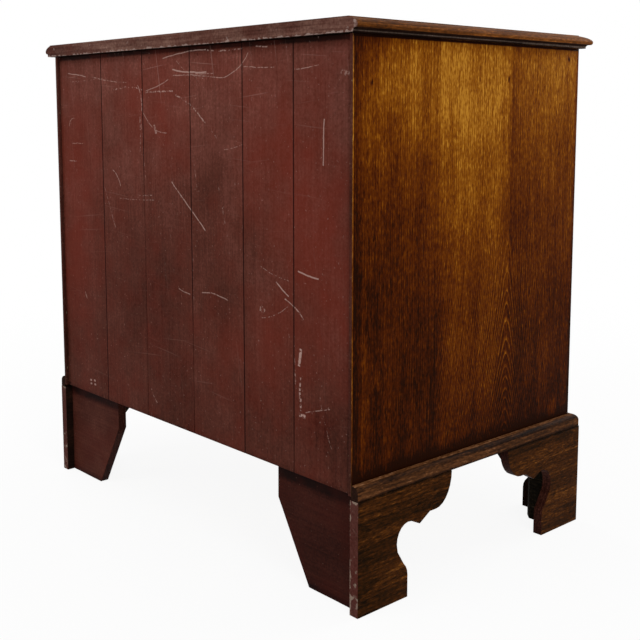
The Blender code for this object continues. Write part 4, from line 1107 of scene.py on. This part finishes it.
def cock_bead(number, low, high):
    """A half-round strip round the edge of a drawer front, mitred at its corners."""
    angles = [math.pi * i / BEAD_STEPS for i in range(BEAD_STEPS + 1)]
    section = [(BEAD_WIDTH / 2 * (1 - math.cos(a)), (FRONT_Y - low.y) * math.sin(a)) for a in angles]
    section += [(BEAD_WIDTH, -BEAD_SINK), (0.0, -BEAD_SINK)]
    bm = bmesh.new()
    rings = []
    for inset, out in section:
        left, right, lower, upper = low.x + inset, high.x - inset, low.z + inset, high.z - inset
        corners = ((left, lower), (right, lower), (right, upper), (left, upper))
        rings.append([bm.verts.new((x, FRONT_Y - out, z)) for x, z in corners])
    for ring, following in zip(rings, [*rings[1:], rings[0]]):
        for i in range(4):
            j = (i + 1) % 4
            bm.faces.new((ring[i], ring[j], following[j], following[i]))
    bmesh.ops.recalc_face_normals(bm, faces=bm.faces)
    mesh = new_mesh(bm, f"drawer_{number}_cock_bead", FRONT_OAK, BEAD_SMOOTH_ANGLE)
    boards = glued_boards(low.z, high.z, [], seed=110 + number)
    boards[0]["tone"] = 0.25
    lay_grain(mesh, "X", "Z", boards)
    finished_piece(mesh, f"drawer_{number}")


for number in DRAWER_NUMBERS:
    node = f"drawer_{number}_front"
    low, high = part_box(node)
    boards = glued_boards(low.z, high.z, [], seed=100 + number)
    front = worn_board(
        node, "XZ", boards, FRONT_OAK, width=0.3, wear=0.1, pitch=60, body=f"drawer_{number}"
    )
    for vert in front.data.vertices:
        vert.co.y = max(vert.co.y, FRONT_Y)
    finish_faces(front, (DRY_INSIDE, lambda c, n: c.y > FRONT_Y + LAP_DEPTH and abs(n.x) < 0.7))
    cock_bead(number, low, high)
print("drawer fronts:", len(DRAWER_NUMBERS))

# %% [markdown]
# The handles are cast brass, the pattern that cabinetmakers of the time bought by the gross: a thin
# scalloped plate, two turned posts that go through the drawer front to square nuts, and a swan-neck
# bail that swings in the posts. Old lacquered brass is brown-gold where nobody touches it and bright
# where fingers do, so a wear attribute brightens the middle of each bail. Metallic is 1, and the
# metal keeps the default IOR.

# %% Aged brass
BRASS_BUMP = 0.08 * MM


def brass():
    """Cast brass with old brown patina; the arris attribute marks where hands keep it bright."""
    material, tree, shader, place = new_material("aged cast brass")
    bright = add(tree, "Attribute", attribute_name=ARRIS).outputs["Fac"]
    cloud = add(tree, "TexNoise", {"Vector": place, "Scale": 60.0, "Detail": 4.0})
    pits = add(tree, "TexNoise", {"Vector": place, "Scale": 700.0, "Detail": 1.0})
    patina = weighted_sum(tree, 0.55, [(cloud, 0.9, 0.5), (pits, 0.3, 0.5), (bright, -0.4, 0.0)])
    tint = add(tree, "ValToRGB", {"Fac": patina}, stops=("#d9b167", "#b98d45", "#8f682f", "#5f431f"))
    dull = add(tree, "MapRange", (patina, 0.0, 1.0, 0.24, 0.50))
    bump = add(tree, "Bump", {"Height": pits, "Distance": BRASS_BUMP, "Strength": 0.4})
    feed(tree, shader, {"Base Color": tint, "Roughness": dull, "Normal": bump, "Metallic": 1.0})
    return material


BRASS = brass()
print("brass nodes:", len(BRASS.node_tree.nodes))

# %% [markdown]
# A plate is a scalloped outline lofted in rings: its back, a rounded edge, and a shallow engraved
# line round its face. A post is turned, so its profile is spun round its axis in many small steps.
# Both are plain mesh work, ring joined to ring, in one helper.

# %% Handle plates, posts and nuts
PLATE_POINTS = 96
PLATE_HALF = (44 * MM, 25 * MM)
PLATE_LOBING = 0.16
PLATE_GAP = 0.3 * MM
PLATE_THICKNESS = 1.8 * MM
PLATE_BACK = FRONT_Y - PLATE_GAP
PLATE_FACE = PLATE_BACK - PLATE_THICKNESS
PLATE_ROUNDING = 0.8 * MM
ENGRAVED_INSET, ENGRAVED_WIDTH, ENGRAVED_DEPTH = 3.2 * MM, 0.7 * MM, 0.25 * MM
POST_SPACING = 70 * MM
POST_SIDES = 32
PIVOT_Y = FRONT_Y - 16 * MM
HEAD_RADIUS, STEM_RADIUS = 4.72 * MM, 3.4 * MM
ROSETTE_RADIUS, ROSETTE_FACE, ROSETTE_THICKNESS, ROSETTE_RIM = 7.2 * MM, 5.4 * MM, 2.2 * MM, 1.1 * MM
STUD_RADIUS, STUD_END = 2.0 * MM, 24.2 * MM
NUT_SIDE, NUT_THICKNESS, NUT_START = 9 * MM, 3 * MM, 20.3 * MM


def arc(centre, radii, start, end, steps):
    """Points on an elliptic arc between two angles in degrees."""
    angles = [math.radians(start + (end - start) * i / steps) for i in range(steps + 1)]
    return [(centre[0] + radii[0] * math.cos(a), centre[1] + radii[1] * math.sin(a)) for a in angles]


def skin(bm, rings):
    """Joins rings of equally many points and closes both ends."""
    loops = [[bm.verts.new(point) for point in ring] for ring in rings]
    for near, far in zip(loops, loops[1:]):
        for i in range(len(near)):
            j = (i + 1) % len(near)
            bm.faces.new((near[i], near[j], far[j], far[i]))
    bm.faces.new(loops[0][::-1])
    bm.faces.new(loops[-1])


def scalloped(x, z, inset, y):
    """The plate's outline at one depth, moved in by inset."""
    points = []
    for i in range(PLATE_POINTS):
        angle = math.tau * i / PLATE_POINTS
        lobe = (1 + PLATE_LOBING * abs(math.cos(3 * angle))) / (1 + PLATE_LOBING)
        across, up = [(half * lobe - inset) for half in PLATE_HALF]
        points.append((x + across * math.cos(angle), y, z + up * math.sin(angle)))
    return points


def plate_rings(x, z):
    """Rings of the plate from its back over its rounded edge to the engraved line on its face."""
    rounding = (PLATE_ROUNDING, PLATE_ROUNDING)
    edge = arc((PLATE_ROUNDING, PLATE_FACE + PLATE_ROUNDING), rounding, 180, 270, 4)
    line, half = ENGRAVED_INSET, ENGRAVED_WIDTH / 2
    grooved = [(line - half, PLATE_FACE), (line, PLATE_FACE + ENGRAVED_DEPTH), (line + half, PLATE_FACE)]
    return [scalloped(x, z, inset, y) for inset, y in [(0.0, PLATE_BACK), *edge, *grooved]]


def post_rings(x, z):
    """Rings of one post, from its round head through stem, cove and rosette to its threaded end."""
    flare = PLATE_FACE - 2 * ROSETTE_THICKNESS
    rim = (ROSETTE_RADIUS - ROSETTE_FACE, ROSETTE_RIM)
    middle = PLATE_FACE + PLATE_THICKNESS / 2
    profile = [
        *arc((0, PIVOT_Y), (HEAD_RADIUS, HEAD_RADIUS), -84, 45, 14),
        (STEM_RADIUS * 0.86, PIVOT_Y + HEAD_RADIUS * 0.95), (STEM_RADIUS * 0.92, flare - 0.8 * MM),
        (STEM_RADIUS * 1.12, flare - 0.4 * MM), (STEM_RADIUS, flare),
        *arc((ROSETTE_FACE, flare), (ROSETTE_FACE - STEM_RADIUS, ROSETTE_THICKNESS), 172, 96, 5),
        *arc((ROSETTE_FACE, PLATE_FACE - ROSETTE_RIM), rim, -90, 0, 4), (ROSETTE_RADIUS, middle),
        (STUD_RADIUS, middle), (STUD_RADIUS, FRONT_Y + STUD_END)
    ]
    turns = [math.tau * i / POST_SIDES for i in range(POST_SIDES)]
    return [[(x + r * math.cos(t), y, z + r * math.sin(t)) for t in turns] for r, y in profile]


def square_nut(bm, x, z):
    """A hand-filed square nut with broken corners, behind the drawer front."""
    made = bmesh.ops.create_cube(bm, size=1.0)["verts"]
    bmesh.ops.scale(bm, vec=(NUT_SIDE, NUT_THICKNESS, NUT_SIDE), verts=made)
    bmesh.ops.translate(bm, vec=(x, FRONT_Y + NUT_START + NUT_THICKNESS / 2, z), verts=made)
    edges = list(dict.fromkeys(edge for vert in made for edge in vert.link_edges))
    bmesh.ops.bevel(bm, geom=edges, offset=0.5 * MM, segments=2, affect="EDGES")


def handle_middle(number, hand):
    """The middle of a plate, across and up."""
    low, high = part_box(f"drawer_{number}_handle_plate_{hand}")
    return (low.x + high.x) / 2, (low.z + high.z) / 2


for number, hand in HANDLES:
    x, z = handle_middle(number, hand)
    bm = bmesh.new()
    skin(bm, plate_rings(x, z))
    for post_x in (x - POST_SPACING / 2, x + POST_SPACING / 2):
        skin(bm, post_rings(post_x, z))
        square_nut(bm, post_x, z)
    bmesh.ops.recalc_face_normals(bm, faces=bm.faces)
    mesh = new_mesh(bm, f"drawer_{number}_plate_{hand}", BRASS)
    groove = PLATE_FACE + ENGRAVED_DEPTH
    mark(mesh, ARRIS, [-1.2 * (abs(v.co.y - groove) < ENGRAVED_DEPTH / 4) for v in mesh.vertices])
    finished_piece(mesh, f"drawer_{number}", [f"drawer_{number}_handle_plate_{hand}"])
print("handle plates:", len(HANDLES))

# %% [markdown]
# A bail is one bar that follows a path and swells towards the middle of its grip. Geometry Nodes
# suit it: a smooth curve through a few listed points, the radius of each point carried along,
# and a round section swept along the curve. The tree takes the bar's radius, its sides and its
# finish as named inputs, so one tree makes all eight.

# %% Bails with Geometry Nodes
BAIL_RADIUS = 2.4 * MM
BAIL_SIDES = 16
BAIL_RINGS = 90
BAIL_DROP = 33.5
BAIL_KNOTS = (
    (37.0, 0.0, 0.625), (33.4, 0.0, 0.625), (29.9, 0.0, 0.625), (28.0, 0.0, 0.8125), (26.2, -0.10, 0.95),
    (27.8, -0.27, 0.92), (32.15, -0.46, 0.95), (35.5, -0.66, 1.0), (29.5, -0.90, 1.05),
    (16.6, -0.995, 1.12), (0.0, -1.0, 1.30)
)
THICKNESS = "thickness"
SHAPE = {"Geometry": "Geometry"}


def made_real(tree, geometry, finish):
    """Ends a geometry tree: copies made real, and the finish set."""
    plain = add(tree, "GeometryNodeRealizeInstances", (geometry,))
    finished = add(tree, "GeometryNodeSetMaterial", {"Geometry": plain, "Material": finish})
    add(tree, "NodeGroupOutput", (finished,))
    return tree


def bar_tree():
    """Sweeps a round bar along the edges of a mesh, with each point's own thickness."""
    inputs = {**SHAPE, "Radius": "Float", "Sides": "Int", "Rings": "Int", "Finish": "Material"}
    tree, given = new_group("bent bar", "GeometryNodeTree", inputs, SHAPE)
    path = add(tree, "GeometryNodeMeshToCurve", {"Mesh": given["Geometry"]})
    smooth = add(tree, "GeometryNodeCurveSplineType", {"Curve": path}, spline_type="CATMULL_ROM")
    even = add(tree, "GeometryNodeResampleCurve", {"Curve": smooth, "Count": given["Rings"]})
    share = add(tree, "GeometryNodeInputNamedAttribute", {"Name": THICKNESS}, data_type="FLOAT")
    radius = add(tree, "Math MULTIPLY", (share, given["Radius"]))
    section = add(tree, "GeometryNodeCurvePrimitiveCircle", {"Resolution": given["Sides"], "Radius": 1.0})
    sweep = {"Curve": even, "Profile Curve": section, "Scale": radius, "Fill Caps": True}
    return made_real(tree, add(tree, "GeometryNodeCurveToMesh", sweep), given["Finish"])


def grown(name, mesh, tree, **inputs):
    """Runs a geometry tree on a mesh and returns the plain mesh that it makes."""
    maker = bpy.data.objects.new(name, mesh)
    SCENE.collection.objects.link(maker)
    modifier = maker.modifiers.new("grow", "NODES")
    modifier.node_group = tree
    sockets = {s.name: s.identifier for s in tree.interface.items_tree if s.in_out == "INPUT"}
    for key, value in inputs.items():
        modifier[sockets[key]] = value
    evaluated = maker.evaluated_get(bpy.context.evaluated_depsgraph_get())
    result = bpy.data.meshes.new_from_object(evaluated)
    bpy.data.objects.remove(maker)
    result.name = name
    return result


def bail_path(x, z):
    """The path of a bail as a mesh of edges with a thickness at each point."""
    route = [*BAIL_KNOTS, *((-across, down, share) for across, down, share in BAIL_KNOTS[-2::-1])]
    mesh = bpy.data.meshes.new("bail_path")
    points = [(x + across * MM, PIVOT_Y, z + down * BAIL_DROP * MM) for across, down, _ in route]
    mesh.from_pydata(points, [(i, i + 1) for i in range(len(points) - 1)], [])
    mark(mesh, THICKNESS, [share for _, _, share in route])
    return mesh


BAR = bar_tree()
for number, hand in HANDLES:
    node = f"drawer_{number}_bail_{hand}"
    x, z = handle_middle(number, hand)
    sizes = {"Radius": BAIL_RADIUS, "Sides": BAIL_SIDES, "Rings": BAIL_RINGS}
    mesh = grown(f"{node}_bar", bail_path(x, z), BAR, Finish=BRASS, **sizes)
    drops = [(z - vert.co.z) / (BAIL_DROP * MM) for vert in mesh.vertices]
    mark(mesh, ARRIS, [min(max((drop - 0.5) * 2, 0.0), 1.0) for drop in drops])
    smoothed(mesh, BEAD_SMOOTH_ANGLE)
    finished_piece(mesh, f"bail_{number}_{hand}", [node])
print("bails:", len(HANDLES))

# %% [markdown]
# Hand-made nails hold the back boards, two at the head and two at the foot of each. Their heads are
# small, slightly domed and never quite square to the board. A tree puts one small head on each
# point of a mesh of bare points, turned and tilted at random from a fixed seed, and then makes the
# copies real, because the export drops instances.

# %% Nails with Geometry Nodes
NAIL_RADIUS, NAIL_HEIGHT = 2.6 * MM, 0.5 * MM
NAIL_INSET = 22 * MM
NAIL_HEIGHTS = (CASE_HIGH - 13 * MM, CASE_LOW + 8 * MM)
NAIL_TILT = 5
NAIL_SEED = 3
FACING_REAR = (-math.pi / 2, 0.0, 0.0)


def nail_tree():
    """A low domed head on every point, facing +Y, tilted a little at random."""
    sizes = dict.fromkeys(("Radius", "Height", "Tilt"), "Float")
    inputs = {**SHAPE, **sizes, "Seed": "Int", "Finish": "Material"}
    tree, given = new_group("driven nails", "GeometryNodeTree", inputs, SHAPE)
    radius, tilt = given["Radius"], given["Tilt"]
    crown = add(tree, "Math MULTIPLY", (radius, 0.7))
    shape = {"Vertices": 12, "Radius Top": crown, "Radius Bottom": radius, "Depth": given["Height"]}
    head = add(tree, "GeometryNodeMeshCone", shape)
    places = {"Points": given["Geometry"], "Instance": head, "Rotation": FACING_REAR}
    nails = add(tree, "GeometryNodeInstanceOnPoints", places)
    back_tilt = add(tree, "Math MULTIPLY", (tilt, -1.0))
    least = add(tree, "CombineXYZ", (back_tilt, back_tilt, 0.0))
    most = add(tree, "CombineXYZ", (tilt, tilt, math.tau))
    limits = {"Min": least, "Max": most, "Seed": given["Seed"]}
    turn = add(tree, "FunctionNodeRandomValue", limits, data_type="FLOAT_VECTOR")
    driven = add(tree, "GeometryNodeRotateInstances", {"Instances": nails, "Rotation": turn})
    return made_real(tree, driven, given["Finish"])


# The nail heads take the back's painted shade too.
NAIL_PAINT = paint("paint over nail heads", BACK_COLOURS, borders=BACK_PAINTED_SHADE, dark=(0.36, 0.62))
nail_places = []
for number in range(1, len(BACK_TONES) + 1):
    low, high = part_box(f"back_board_{number}")
    for x in (low.x + NAIL_INSET, high.x - NAIL_INSET):
        nail_places += [(x, BACK_BOARD_Y, height) for height in NAIL_HEIGHTS]
points = bpy.data.meshes.new("nail_places")
points.from_pydata(nail_places, [], [])
sizes = {"Radius": NAIL_RADIUS, "Height": NAIL_HEIGHT, "Tilt": math.radians(NAIL_TILT), "Seed": NAIL_SEED}
finished_piece(
    grown("back_nails", points, nail_tree(), Finish=NAIL_PAINT, **sizes), CARCASE
)
print("nails:", len(nail_places))
